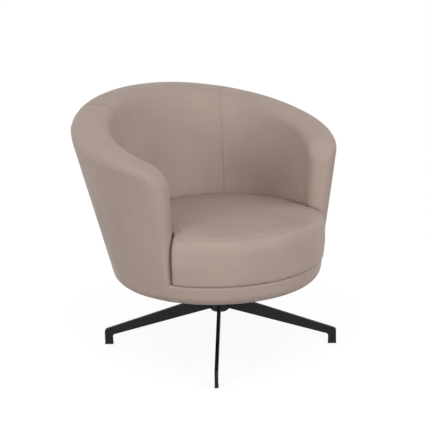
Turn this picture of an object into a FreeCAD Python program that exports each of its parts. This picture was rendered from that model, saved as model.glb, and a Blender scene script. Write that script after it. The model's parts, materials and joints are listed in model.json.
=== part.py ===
import FreeCAD, Part
import Sketcher
import math
import os

from FreeCAD import Vector, Rotation, Placement

# Swivel tub armchair in leather on a black four-legged base.
# Frame: origin on the floor at the swivel axis, -Y to the front of the seat, +Z up, millimetres.

DRIVING_SIZES = {
    # four-legged base
    "leg_reach": 354.5,
    "leg_thickness": 10.0,
    "leg_root_top": 158.0,
    "leg_root_bottom": 115.0,
    "leg_end_top": 48.0,
    "foot_width": 24.5,
    "foot_inner_height": 31.0,
    "foot_corner_radius": 10.0,
    "foot_inner_radius": 8.0,
    "glide_height": 4.0,
    "glide_overhang": 0.6,
    "glide_stem_radius": 2.5,
    "glide_stem_length": 12.0,
    "weld_gap": 0.1,
    # column and its bearing
    "column_radius": 28.5,
    "column_wall": 3.5,
    "column_top": 203.6,
    "cap_height": 5.0,
    "cap_plug_height": 9.0,
    "cap_corner_radius": 4.0,
    "cap_plug_radius": 14.0,
    "bush_length": 24.0,
    "bush_flange": 3.0,
    "bush_lower_seat": 26.0,
    "running_fit": 0.05,
    "spindle_radius": 12.5,
    "spindle_flange_radius": 31.0,
    "spindle_flange": 4.0,
    "spindle_end_chamfer": 2.0,
    "clip_groove_depth": 1.2,
    "clip_thickness": 1.5,
    "clip_radius": 15.5,
    "clip_offset": 6.0,
    "retainer_thickness": 2.0,
    "retainer_radius": 20.0,
    "race_thickness": 2.0,
    "race_inner_radius": 15.0,
    "race_outer_radius": 28.0,
    "ball_radius": 3.0,
    "ball_circle_radius": 21.5,
    "ball_play": 0.02,
    "ball_pocket_play": 0.15,
    "cage_thickness": 2.6,
    "cage_margin": 5.0,
    # swivel plate and its fasteners
    "plate_width": 180.0,
    "plate_thickness": 3.0,
    "plate_corner_radius": 18.0,
    "plate_bolt_spacing": 140.0,
    "bolt_radius": 4.0,
    "bolt_head_radius": 7.2,
    "bolt_head_height": 5.3,
    "bolt_tail": 1.0,
    "washer_radius": 8.0,
    "washer_thickness": 1.6,
    "tee_nut_radius": 11.0,
    "tee_nut_flange": 1.5,
    "tee_nut_barrel": 5.2,
    "tee_nut_depth": 10.0,
    "hole_play": 0.2,
    # timber seat frame
    "frame_centre": 10.0,
    "board_margin": 24.0,
    "board_thickness": 18.0,
    "board_vent_radius": 32.0,
    "board_vent_margin": 86.0,
    "rail_margin": 14.4,
    "rail_width": 38.0,
    "rail_height": 36.9,
    "wood_screw_radius": 2.2,
    "wood_screw_head_radius": 4.4,
    "wood_screw_head": 2.4,
    "rail_screw_length": 42.0,
    "foot_screw_length": 20.0,
    # welded back frame
    "post_radius": 8.0,
    "tube_wall": 1.5,
    "post_foot_length": 38.0,
    "post_foot_width": 24.0,
    "post_screw_offset": 13.5,
    "post_foot_thickness": 3.0,
    "post_circle_inset": 14.0,
    "rim_tube_radius": 9.0,
    "rim_tube_depth": 75.0,
    # webbing and deck
    "strap_gap": 46.0,
    "strap_thickness": 1.5,
    "strap_spacing_share": 0.28,
    "strap_edge_inset": 3.0,
    "deck_cloth_margin": 42.0,
    "deck_cloth_thickness": 0.8,
    # outside of the tub: a leaning cone with a rounded foot, heights from the underside of the tub
    "tub_corner_radius": 34.0,
    "cone_rise": 31.0,
    "cone_margin": 45.5,
    "cone_centre": 11.0,
    # inside of the tub, measured at the top of the cushion
    "seat_rise": 208.0,
    "well_radius": 268.9,
    "well_centre": -5.3,
    # rim line: mean rise above the underside and its waves round the tub
    "rim_mean_rise": 434.8,
    "rim_back_rise": 88.6,
    "rim_double_wave": -7.2,
    "rim_triple_wave": 4.6,
    "rim_outer_radius": 43.0,
    "rim_inner_radius": 38.0,
    "rim_crown_radius": 220.0,
    "rim_crown_lift": 2.4,
    # arm fronts
    "nose_length": 31.0,
    "nose_corner_length": 52.0,
    "nose_corner_height": 52.0,
    # covers
    "leather_thickness": 1.4,
    "cover_gap": 0.3,
    "cover_turn_under": 42.0,
    "band_edge_radius": 7.0,
    "band_top_width": 44.0,
    "dust_cover_margin": 14.0,
    "dust_cover_thickness": 1.0,
    "dust_cover_hole_radius": 136.0,
    # cushion
    "cushion_front_margin": 10.6,
    "cushion_front_centre": 11.7,
    "cushion_height": 149.0,
    "cushion_side_clearance": 1.6,
    "cushion_nose_radius": 34.0,
    "cushion_ear_radius": 13.0,
    "cushion_opening_inset": 26.0,
    "cushion_crown_radius": 1900.0,
    "cushion_crown_forward": 60.0,
    "cushion_wrap": 8.0,
    # shared allowances
    "soft_gap": 0.3,
    "cut_overrun": 5.0,
}

# sizes that follow others, so that the tub, its frame and the cushion keep together
TIED_SIZES = {
    "cone_radius": "well_radius + cone_margin",
    "rail_outer_radius": "cone_radius - rail_margin",
    "board_radius": "rail_outer_radius - board_margin",
    "board_vent_circle": "board_radius - board_vent_margin",
    "strap_spacing": "rail_outer_radius * strap_spacing_share",
    "strap_width": "strap_spacing - strap_gap",
    "deck_cloth_radius": "rail_outer_radius - deck_cloth_margin",
    "dust_cover_radius": "board_radius - dust_cover_margin",
    "cushion_front_radius": "cone_radius + cushion_front_margin",
}

LEG_YAW = 55.44
LEG_NAMES = ["leg_back_right", "leg_back_left", "leg_front_left", "leg_front_right"]
BALL_COUNT = 14
RAIL_NAMES = ["rail_back", "rail_left", "rail_front", "rail_right"]
RAIL_SCREW_COUNT = 12
POST_ANGLES = {"outer": 107.0, "side": 73.0, "rear": 45.0, "centre": 17.0}
RIM_TUBE_END = 111.0
VENT_COUNT = 4
HEXAGON_SIDES = 6

# slopes of the tub, as growth for each unit of height
cone_flare_share = 0.213
cone_lean_share = 0.125
slice_lean_share = 0.08
well_flare_share = 0.105
well_lean_share = 0.192
rim_fill_share = 0.96
edge_near_share = 0.01

WALL_END = 120.0
SLICE_STEP = 8.0
NOSE_TURNS = [0.0, 18.0, 36.0, 52.0, 66.0, 80.0]
SIDE_SEAM = 40.0
BACK_FOAM_JOINT = 32.0
SIDE_FOAM_JOINT = 80.0
RIM_SEAM_TURN = 36.0

# cushion levels: share of its height, then how far front and rear outlines draw in, as shares of it
cushion_level_shares = [
    (0.0, 0.075, 0.045),
    (0.04, 0.04, 0.02),
    (0.11, 0.014, 0.006),
    (0.24, 0.002, 0.0),
    (0.42, 0.0, 0.0),
    (0.60, 0.004, 0.0),
    (0.72, 0.016, 0.002),
    (0.81, 0.045, 0.006),
    (0.88, 0.085, 0.02),
    (0.93, 0.135, 0.05),
    (0.97, 0.205, 0.10),
    (1.0, 0.31, 0.17),
]

doc = FreeCAD.newDocument("swivel_armchair")
sheet = doc.addObject("Spreadsheet::Sheet", "Sizes")
cells = {alias: str(number) for alias, number in DRIVING_SIZES.items()}
cells.update({alias: "=" + formula for alias, formula in TIED_SIZES.items()})
for row, (alias, content) in enumerate(cells.items(), start=1):
    sheet.set("A%d" % row, alias)
    sheet.set("B%d" % row, content)
    sheet.setAlias("B%d" % row, alias)
doc.recompute()


class Size:
    """A length that keeps the sheet expression it comes from."""

    def __init__(self, text, value):
        self.text = text
        self.value = float(value)

    @staticmethod
    def of(other):
        return other if isinstance(other, Size) else Size(repr(other), other)

    def joined(self, sign, other, value):
        return Size("(%s %s %s)" % (self.text, sign, Size.of(other).text), value)

    def __add__(self, other):
        return self.joined("+", other, self.value + float(other))

    def __sub__(self, other):
        return self.joined("-", other, self.value - float(other))

    def __mul__(self, other):
        return self.joined("*", other, self.value * float(other))

    def __truediv__(self, other):
        return self.joined("/", other, self.value / float(other))

    def __neg__(self):
        return Size("(-1 * %s)" % self.text, -self.value)

    def __float__(self):
        return self.value


class Sizes:
    """The sheet's cells by alias, each as a Size."""

    def __getattr__(self, alias):
        return Size("Sizes." + alias, sheet.get(alias))


size = Sizes()
pieces = {}


def number(alias):
    return float(sheet.get(alias))


def keep(node, label):
    """Give an object its node name and list it among the pieces that are written."""
    node.Label = label
    pieces[label] = node
    return node


# Helpers for sketched bodies

def origin_plane(body, role):
    return next(item for item in body.Origin.OriginFeatures if item.Role == role)


def new_sketch(body, name, role):
    sketch = body.newObject("Sketcher::SketchObject", name)
    sketch.AttachmentSupport = [(origin_plane(body, role), "")]
    sketch.MapMode = "FlatFace"
    return sketch


def bind(sketch, kind, places, length):
    """Add a dimension whose value follows its Size."""
    index = sketch.addConstraint(Sketcher.Constraint(kind, *places, float(length)))
    sketch.renameConstraint(index, "%s_%d" % (kind, index))
    sketch.setExpression("Constraints.%s_%d" % (kind, index), length.text)


def closed_outline(sketch, corners):
    """Draw a closed polygon whose corners are pairs of Sizes, or None for a place on an axis."""
    points = [Vector(0 if x is None else float(x), 0 if y is None else float(y), 0) for x, y in corners]
    first = sketch.GeometryCount
    count = len(points)
    for i in range(count):
        sketch.addGeometry(Part.LineSegment(points[i], points[(i + 1) % count]), False)
    for i in range(count):
        sketch.addConstraint(Sketcher.Constraint("Coincident", first + i, 2, first + (i + 1) % count, 1))
    for i, (x, y) in enumerate(corners):
        if x is None:
            sketch.addConstraint(Sketcher.Constraint("PointOnObject", first + i, 1, -2))
        else:
            bind(sketch, "DistanceX", (-1, 1, first + i, 1), x)
        if y is None:
            sketch.addConstraint(Sketcher.Constraint("PointOnObject", first + i, 1, -1))
        else:
            bind(sketch, "DistanceY", (-1, 1, first + i, 1), y)


def circle_at(sketch, x, y, radius):
    """Draw a circle whose centre and radius follow their Sizes, None for a centre on an axis."""
    centre = Vector(0 if x is None else float(x), 0 if y is None else float(y), 0)
    index = sketch.addGeometry(Part.Circle(centre, Vector(0, 0, 1), float(radius)), False)
    bind(sketch, "Radius", (index,), radius)
    if x is None and y is None:
        sketch.addConstraint(Sketcher.Constraint("Coincident", index, 3, -1, 1))
        return
    if x is None:
        sketch.addConstraint(Sketcher.Constraint("PointOnObject", index, 3, -2))
    else:
        bind(sketch, "DistanceX", (-1, 1, index, 3), x)
    if y is None:
        sketch.addConstraint(Sketcher.Constraint("PointOnObject", index, 3, -1))
    else:
        bind(sketch, "DistanceY", (-1, 1, index, 3), y)


def turned(label, corners):
    """A turned piece: a closed profile of radius and height spun round the upright axis."""
    body = doc.addObject("PartDesign::Body", label + "_body")
    sketch = new_sketch(body, label + "_profile", "XZ_Plane")
    closed_outline(sketch, corners)
    spin = body.newObject("PartDesign::Revolution", label + "_turn")
    spin.Profile = sketch
    spin.ReferenceAxis = (sketch, ["V_Axis"])
    spin.Angle = 360.0
    body.Tip = spin
    doc.recompute()
    return keep(body, label)


def edges_near(shape, test):
    """Names of the edges whose middle passes the test."""
    return ["Edge%d" % (i + 1) for i, edge in enumerate(shape.Edges) if test(edge)]


def round_edges(body, feature, names, radius, label):
    fillet = body.newObject("PartDesign::Fillet", label)
    fillet.Base = (feature, names)
    fillet.Radius = float(radius)
    fillet.setExpression("Radius", radius.text)
    body.Tip = fillet
    doc.recompute()
    return fillet


def fixed_shape(label, shape):
    """A piece whose form comes from lofts, worked out from the sheet."""
    node = doc.addObject("Part::Feature", label)
    node.Shape = shape
    node.Placement = Placement()
    return keep(node, label)


# Four-legged base

glide_top = size.glide_height
foot_inner = size.leg_reach - size.foot_width
foot_middle = size.leg_reach - size.foot_width / 2


def make_leg(label, yaw):
    """A leg cut from flat plate, its foot turned down, its root hollowed to fit the column."""
    body = doc.addObject("PartDesign::Body", label + "_body")
    sketch = new_sketch(body, label + "_profile", "XZ_Plane")
    root = size.column_radius / 2
    slope_length = size.leg_reach - size.column_radius
    lower_rise = (size.leg_root_bottom - size.foot_inner_height) / (foot_inner - size.column_radius)
    upper_rise = (size.leg_root_top - size.leg_end_top) / slope_length
    closed_outline(sketch, [
        (root, size.leg_root_bottom + lower_rise * (size.column_radius - root)),
        (foot_inner, size.foot_inner_height),
        (foot_inner, glide_top),
        (size.leg_reach, glide_top),
        (size.leg_reach, size.leg_end_top - upper_rise * size.weld_gap),
        (root, size.leg_root_top + upper_rise * (size.column_radius - root)),
    ])
    pad = body.newObject("PartDesign::Pad", label + "_plate")
    pad.Profile = sketch
    pad.Midplane = True
    pad.setExpression("Length", size.leg_thickness.text)
    doc.recompute()
    reach, inner = float(size.leg_reach), float(foot_inner)
    middle = float(size.foot_inner_height) / 2

    def is_corner_edge_at(edge, place, low):
        """Whether an edge runs through the plate's thickness at a reach, above a height."""
        centre = edge.CenterOfMass
        if edge.BoundBox.YLength < float(size.leg_thickness) / 2:
            return False
        return abs(centre.x - place) < edge_near_share * reach and centre.z > low

    outer_corner = edges_near(pad.Shape, lambda edge: is_corner_edge_at(edge, reach, middle))
    shaped = round_edges(body, pad, outer_corner, size.foot_corner_radius, label + "_corner")
    inner_corner = edges_near(shaped.Shape, lambda edge: is_corner_edge_at(edge, inner, middle))
    round_edges(body, shaped, inner_corner, size.foot_inner_radius, label + "_inner_corner")
    hollow = new_sketch(body, label + "_column_fit", "XY_Plane")
    circle_at(hollow, None, None, size.column_radius + size.weld_gap)
    fit = body.newObject("PartDesign::Pocket", label + "_root")
    fit.Profile = hollow
    fit.Type = 1
    fit.Reversed = True
    bore = new_sketch(body, label + "_stem_hole", "XY_Plane")
    circle_at(bore, foot_middle, None, size.glide_stem_radius + size.hole_play)
    hole = body.newObject("PartDesign::Pocket", label + "_stem_bore")
    hole.Profile = bore
    hole.setExpression("Length", (glide_top + size.glide_stem_length + size.hole_play).text)
    hole.Reversed = True
    body.Tip = hole
    body.Placement = Placement(Vector(), Rotation(Vector(0, 0, 1), yaw))
    doc.recompute()
    return keep(body, label)


def make_glide(label, yaw):
    """A plastic glide under a foot: a pad with a stem that presses into the foot."""
    body = doc.addObject("PartDesign::Body", label + "_body")
    base = new_sketch(body, label + "_outline", "XY_Plane")
    half = size.leg_thickness / 2 + size.glide_overhang
    inner = foot_inner - size.glide_overhang
    outer = size.leg_reach + size.glide_overhang
    closed_outline(base, [(inner, -half), (outer, -half), (outer, half), (inner, half)])
    pad = body.newObject("PartDesign::Pad", label + "_pad")
    pad.Profile = base
    pad.setExpression("Length", glide_top.text)
    stem_sketch = new_sketch(body, label + "_stem_outline", "XY_Plane")
    circle_at(stem_sketch, foot_middle, None, size.glide_stem_radius)
    stem = body.newObject("PartDesign::Pad", label + "_stem")
    stem.Profile = stem_sketch
    stem.setExpression("Length", (glide_top + size.glide_stem_length).text)
    body.Tip = stem
    body.Placement = Placement(Vector(), Rotation(Vector(0, 0, 1), yaw))
    doc.recompute()
    return keep(body, label)


for turn, leg_name in enumerate(LEG_NAMES):
    make_leg(leg_name, LEG_YAW + 90 * turn)
    make_glide(leg_name.replace("leg", "glide"), LEG_YAW + 90 * turn)

# Column, bushes and bearing, from the floor up

column_bottom = size.leg_root_bottom - size.weld_gap
column_bore = size.column_radius - size.column_wall
turned("column_tube", [
    (column_bore, column_bottom),
    (size.column_radius, column_bottom),
    (size.column_radius, size.column_top),
    (column_bore, size.column_top),
])

cap_bottom = column_bottom - size.cap_height
cap_top = column_bottom + size.cap_plug_height
turned("column_cap", [
    (None, cap_bottom),
    (size.column_radius - size.cap_corner_radius, cap_bottom),
    (size.column_radius, cap_bottom + size.cap_corner_radius),
    (size.column_radius, column_bottom),
    (column_bore - size.hole_play, column_bottom),
    (column_bore - size.hole_play, cap_top),
    (size.cap_plug_radius, cap_top),
    (size.cap_plug_radius, column_bottom),
    (None, column_bottom),
])

bush_bore = size.spindle_radius + size.running_fit
bush_outer = column_bore - size.running_fit
lower_bush_bottom = column_bottom + size.bush_lower_seat
lower_bush_top = lower_bush_bottom + size.bush_length
turned("lower_bush", [
    (bush_bore, lower_bush_bottom),
    (bush_outer, lower_bush_bottom),
    (bush_outer, lower_bush_top),
    (bush_bore, lower_bush_top),
])
upper_bush_top = size.column_top + size.bush_flange
turned("upper_bush", [
    (bush_bore, size.column_top - size.bush_length),
    (bush_outer, size.column_top - size.bush_length),
    (bush_outer, size.column_top),
    (size.column_radius, size.column_top),
    (size.column_radius, upper_bush_top),
    (bush_bore, upper_bush_top),
])

lower_race_top = upper_bush_top + size.race_thickness
turned("lower_race", [
    (size.race_inner_radius, upper_bush_top),
    (size.race_outer_radius, upper_bush_top),
    (size.race_outer_radius, lower_race_top),
    (size.race_inner_radius, lower_race_top),
])
ball_height = lower_race_top + size.ball_radius + size.ball_play
upper_race_bottom = ball_height + size.ball_radius + size.ball_play
upper_race_top = upper_race_bottom + size.race_thickness
turned("upper_race", [
    (size.race_inner_radius, upper_race_bottom),
    (size.race_outer_radius, upper_race_bottom),
    (size.race_outer_radius, upper_race_top),
    (size.race_inner_radius, upper_race_top),
])


def make_ball_cage():
    """A flat ring that keeps the balls apart, with a pocket for each ball."""
    body = doc.addObject("PartDesign::Body", "ball_cage_body")
    sketch = new_sketch(body, "ball_cage_profile", "XZ_Plane")
    low = ball_height - size.cage_thickness / 2
    high = ball_height + size.cage_thickness / 2
    inner = size.ball_circle_radius - size.cage_margin
    outer = size.ball_circle_radius + size.cage_margin
    closed_outline(sketch, [(inner, low), (outer, low), (outer, high), (inner, high)])
    ring = body.newObject("PartDesign::Revolution", "ball_cage_ring")
    ring.Profile = sketch
    ring.ReferenceAxis = (sketch, ["V_Axis"])
    ring.Angle = 360.0
    doc.recompute()
    pocket_sketch = new_sketch(body, "ball_cage_pocket_outline", "XY_Plane")
    circle_at(pocket_sketch, size.ball_circle_radius, None, size.ball_radius + size.ball_pocket_play)
    pocket = body.newObject("PartDesign::Pocket", "ball_cage_pocket")
    pocket.Profile = pocket_sketch
    pocket.Type = 1
    pocket.Reversed = True
    doc.recompute()
    pattern = body.newObject("PartDesign::PolarPattern", "ball_cage_pockets")
    pattern.Originals = [pocket]
    pattern.Axis = (pocket_sketch, ["N_Axis"])
    pattern.Angle = 360.0
    pattern.Occurrences = BALL_COUNT
    body.Tip = pattern
    doc.recompute()
    return keep(body, "ball_cage")


make_ball_cage()


def around(count, radius, height, first=0.0, centre=0.0):
    """Places evenly spaced on a circle round an upright axis."""
    for i in range(count):
        angle = math.radians(first + 360.0 * i / count)
        yield Vector(radius * math.sin(angle), centre + radius * math.cos(angle), height)


balls = [Part.makeSphere(number("ball_radius"), place)
         for place in around(BALL_COUNT, number("ball_circle_radius"), float(ball_height), 90.0)]
fixed_shape("bearing_balls", Part.makeCompound(balls))

# Spindle, its retainers and the swivel plate

flange_top = upper_race_top + size.spindle_flange
plate_top = flange_top + size.plate_thickness
clip_bottom = column_bottom + size.bush_lower_seat - size.clip_offset
clip_top = clip_bottom + size.clip_thickness
spindle_bottom = clip_bottom - size.clip_offset
groove_radius = size.spindle_radius - size.clip_groove_depth
spigot_radius = size.spindle_radius - size.spindle_end_chamfer
turned("spindle", [
    (None, spindle_bottom),
    (spigot_radius, spindle_bottom),
    (size.spindle_radius, spindle_bottom + size.spindle_end_chamfer),
    (size.spindle_radius, clip_bottom),
    (groove_radius, clip_bottom),
    (groove_radius, clip_top),
    (size.spindle_radius, clip_top),
    (size.spindle_radius, upper_race_top),
    (size.spindle_flange_radius, upper_race_top),
    (size.spindle_flange_radius, flange_top),
    (spigot_radius, flange_top),
    (spigot_radius, plate_top),
    (None, plate_top),
])
turned("spindle_clip", [
    (groove_radius + size.running_fit, clip_bottom + size.running_fit),
    (size.clip_radius, clip_bottom + size.running_fit),
    (size.clip_radius, clip_top - size.running_fit),
    (groove_radius + size.running_fit, clip_top - size.running_fit),
])
retainer_bottom = clip_top
retainer_top = retainer_bottom + size.retainer_thickness
turned("spindle_washer", [
    (bush_bore, retainer_bottom),
    (size.retainer_radius, retainer_bottom),
    (size.retainer_radius, retainer_top),
    (bush_bore, retainer_top),
])


def make_swivel_plate():
    """A square steel plate with rounded corners, four bolt holes and a spigot hole for the spindle."""
    body = doc.addObject("PartDesign::Body", "swivel_plate_body")
    sketch = new_sketch(body, "swivel_plate_outline", "XY_Plane")
    half = size.plate_width / 2
    closed_outline(sketch, [(-half, -half), (half, -half), (half, half), (-half, half)])
    pad = body.newObject("PartDesign::Pad", "swivel_plate_sheet")
    pad.Profile = sketch
    pad.setExpression("Length", size.plate_thickness.text)
    doc.recompute()
    corners = edges_near(pad.Shape, lambda edge: edge.BoundBox.ZLength > number("plate_thickness") / 2)
    rounded = round_edges(body, pad, corners, size.plate_corner_radius, "swivel_plate_corners")
    holes = new_sketch(body, "swivel_plate_hole_outline", "XY_Plane")
    circle_at(holes, None, None, spigot_radius + size.running_fit)
    offset = size.plate_bolt_spacing / 2
    for x_side, y_side in ((offset, offset), (-offset, offset), (-offset, -offset), (offset, -offset)):
        circle_at(holes, x_side, y_side, size.bolt_radius + size.hole_play)
    pocket = body.newObject("PartDesign::Pocket", "swivel_plate_holes")
    pocket.Profile = holes
    pocket.Type = 1
    pocket.Reversed = True
    body.Tip = pocket
    body.setExpression("Placement.Base.z", flange_top.text)
    doc.recompute()
    if pocket.Shape.Volume >= rounded.Shape.Volume:
        raise RuntimeError("the plate has no holes")
    return keep(body, "swivel_plate")


make_swivel_plate()


# Fasteners: one shape each, copied to every place

def cylinder(radius, height, base, axis=Vector(0, 0, 1)):
    return Part.makeCylinder(float(radius), float(height), base, axis)


def merged(shapes):
    whole = shapes[0].fuse(shapes[1:]) if len(shapes) > 1 else shapes[0]
    whole = whole.removeSplitter()
    return whole.Solids[0] if len(whole.Solids) == 1 else whole


def largest(shape):
    """The main solid of a cut, without any crumbs that it leaves."""
    return max(shape.Solids, key=lambda solid: solid.Volume)


def hexagon(radius, height, base):
    turns = [math.radians(360 * i / HEXAGON_SIDES) for i in range(HEXAGON_SIDES + 1)]
    corners = [base + Vector(radius * math.cos(turn), radius * math.sin(turn), 0) for turn in turns]
    return Part.Face(Part.makePolygon(corners)).extrude(Vector(0, 0, height))


board_bottom = float(plate_top)
board_top = board_bottom + number("board_thickness")
rail_top = board_top + number("rail_height")
strap_top = rail_top + 2 * number("strap_thickness")
deck_top = strap_top + number("deck_cloth_thickness")
leather = number("leather_thickness")
tub_bottom = board_bottom - number("cover_gap") - leather
band_top = strap_top + number("soft_gap") + leather
soft_floor = band_top + number("soft_gap")
cone_height = tub_bottom + number("cone_rise")
seat_height = tub_bottom + number("seat_rise")
bolt_offset = number("plate_bolt_spacing") / 2
bolt_places = [Vector(bolt_offset * sx, bolt_offset * sy, 0) for sx in (-1, 1) for sy in (-1, 1)]
washer_bottom = float(flange_top) - number("washer_thickness")


def bolt_at(place):
    """A hexagon bolt put in from below, through plate, board and tee nut."""
    head_bottom = washer_bottom - number("bolt_head_height")
    head = hexagon(number("bolt_head_radius"), number("bolt_head_height"), place + Vector(0, 0, head_bottom))
    shank_length = board_top + number("tee_nut_flange") + number("bolt_tail") - washer_bottom
    shank = cylinder(number("bolt_radius"), shank_length, place + Vector(0, 0, washer_bottom))
    return merged([head, shank])


def washer_at(place):
    base = place + Vector(0, 0, washer_bottom)
    bore = number("bolt_radius") + number("hole_play")
    ring = cylinder(number("washer_radius"), number("washer_thickness"), base)
    return ring.cut(cylinder(bore, number("washer_thickness"), base))


def tee_nut_at(place):
    """A tee nut pressed into the board from above: flange on top, barrel in the hole."""
    flange = cylinder(number("tee_nut_radius"), number("tee_nut_flange"), place + Vector(0, 0, board_top))
    depth = number("tee_nut_depth")
    barrel = cylinder(number("tee_nut_barrel"), depth, place + Vector(0, 0, board_top - depth))
    height = depth + number("tee_nut_flange")
    bore_radius = number("bolt_radius") + number("running_fit")
    bore = cylinder(bore_radius, height, place + Vector(0, 0, board_top - depth))
    return merged([flange, barrel]).cut(bore)


fixed_shape("plate_bolts", Part.makeCompound([bolt_at(place) for place in bolt_places]))
fixed_shape("plate_washers", Part.makeCompound([washer_at(place) for place in bolt_places]))
fixed_shape("tee_nuts", Part.makeCompound([tee_nut_at(place) for place in bolt_places]))

# Timber seat frame: a round board and four curved rails screwed on it

frame_middle = number("frame_centre")
rail_inner_radius = number("rail_outer_radius") - number("rail_width")
screw_circle = (rail_inner_radius + number("board_radius")) / 2
screw_places = list(around(RAIL_SCREW_COUNT, screw_circle, board_bottom, 0.0, frame_middle))


def wood_screw(head_place, direction, length, play=0.0):
    """A countersunk screw from the middle of its head, or the hole for it with some play."""
    head_radius = number("wood_screw_head_radius") + play
    shank_radius = number("wood_screw_radius") + play
    head_height = number("wood_screw_head")
    head = Part.makeCone(head_radius, shank_radius, head_height, head_place, direction)
    shank_base = head_place + direction * head_height
    return merged([head, cylinder(shank_radius, length - head_height + play, shank_base, direction)])


upwards = Vector(0, 0, 1)
downwards = Vector(0, 0, -1)
rail_screws = [wood_screw(place, upwards, number("rail_screw_length")) for place in screw_places]
rail_screw_holes = [wood_screw(place, upwards, number("rail_screw_length"), number("hole_play"))
                    for place in screw_places]
fixed_shape("rail_screws", Part.makeCompound(rail_screws))


def make_board():
    """The round plywood board, bored for the swivel plate, the tee nuts, air and the rail screws."""
    body = doc.addObject("PartDesign::Body", "seat_board_body")
    disc_sketch = new_sketch(body, "seat_board_outline", "XY_Plane")
    circle_at(disc_sketch, None, size.frame_centre, size.board_radius)
    disc = body.newObject("PartDesign::Pad", "seat_board_disc")
    disc.Profile = disc_sketch
    disc.setExpression("Length", size.board_thickness.text)
    hole_sketch = new_sketch(body, "seat_board_hole_outline", "XY_Plane")
    offset = size.plate_bolt_spacing / 2
    for x_side, y_side in ((offset, offset), (-offset, offset), (-offset, -offset), (offset, -offset)):
        circle_at(hole_sketch, x_side, y_side, size.tee_nut_barrel + size.running_fit)
    holes = body.newObject("PartDesign::Pocket", "seat_board_holes")
    holes.Profile = hole_sketch
    holes.Type = 1
    holes.Reversed = True
    vent_sketch = new_sketch(body, "seat_board_vent_outline", "XY_Plane")
    circle_at(vent_sketch, size.board_vent_circle, None, size.board_vent_radius)
    vent = body.newObject("PartDesign::Pocket", "seat_board_vent")
    vent.Profile = vent_sketch
    vent.Type = 1
    vent.Reversed = True
    doc.recompute()
    vents = body.newObject("PartDesign::PolarPattern", "seat_board_vents")
    vents.Originals = [vent]
    vents.Axis = (vent_sketch, ["N_Axis"])
    vents.Angle = 360.0
    vents.Occurrences = VENT_COUNT
    body.Tip = vents
    body.Placement = Placement(Vector(0, 0, board_bottom), Rotation())
    doc.recompute()
    drilled = doc.addObject("Part::Cut", "seat_board_drilled")
    drilled.Base = body
    drilled.Tool = doc.addObject("Part::Feature", "seat_board_screw_holes")
    drilled.Tool.Shape = Part.makeCompound(rail_screw_holes)
    doc.recompute()
    return keep(drilled, "seat_board")


make_board()


# Slices of the tub wall

def heading(angle):
    turn = math.radians(angle)
    return Vector(math.sin(turn), math.cos(turn), 0)


def outer_circle(z):
    """Centre and radius of the outside of the tub at a height."""
    rise = z - cone_height
    centre = number("cone_centre") + cone_lean_share * rise
    return centre, number("cone_radius") + cone_flare_share * rise


def well_circle(z):
    """Centre and radius of the inside of the tub at a height."""
    rise = z - seat_height
    centre = number("well_centre") + well_lean_share * rise
    return centre, number("well_radius") + well_flare_share * rise


def slice_axis(z):
    return number("cone_centre") + slice_lean_share * (z - cone_height)


def rim_height(angle):
    turn = math.radians(angle)
    waves = number("rim_back_rise") * math.cos(turn) + number("rim_double_wave") * math.cos(2 * turn)
    return tub_bottom + number("rim_mean_rise") + waves + number("rim_triple_wave") * math.cos(3 * turn)


def reach_of(circle, angle, z):
    """Distance from the slice axis to a circle of the tub, along a heading."""
    centre, radius = circle(z)
    shift = centre - slice_axis(z)
    turn = math.radians(angle)
    return shift * math.cos(turn) + math.sqrt(radius ** 2 - (shift * math.sin(turn)) ** 2)


def wall_middle(angle, z):
    """Point in the middle of the wall's thickness."""
    reach = (reach_of(outer_circle, angle, z) + reach_of(well_circle, angle, z)) / 2
    return Vector(0, slice_axis(z), z) + heading(angle) * reach


WALL_RADIUS = (number("cone_radius") + number("well_radius")) / 2 + number("nose_length")
NOSE_TURN = math.degrees(number("nose_length") / WALL_RADIUS)


class Flat:
    """A point or direction in a slice: u outwards, v up."""

    def __init__(self, u, v):
        self.u, self.v = u, v

    def __add__(self, other):
        return Flat(self.u + other.u, self.v + other.v)

    def __sub__(self, other):
        return Flat(self.u - other.u, self.v - other.v)

    def __mul__(self, factor):
        return Flat(self.u * factor, self.v * factor)

    def length(self):
        return math.hypot(self.u, self.v)

    def unit(self):
        return self * (1 / self.length())

    def out(self):
        """The direction a quarter turn clockwise, outwards of an upward line."""
        return Flat(self.v, -self.u)


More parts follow.
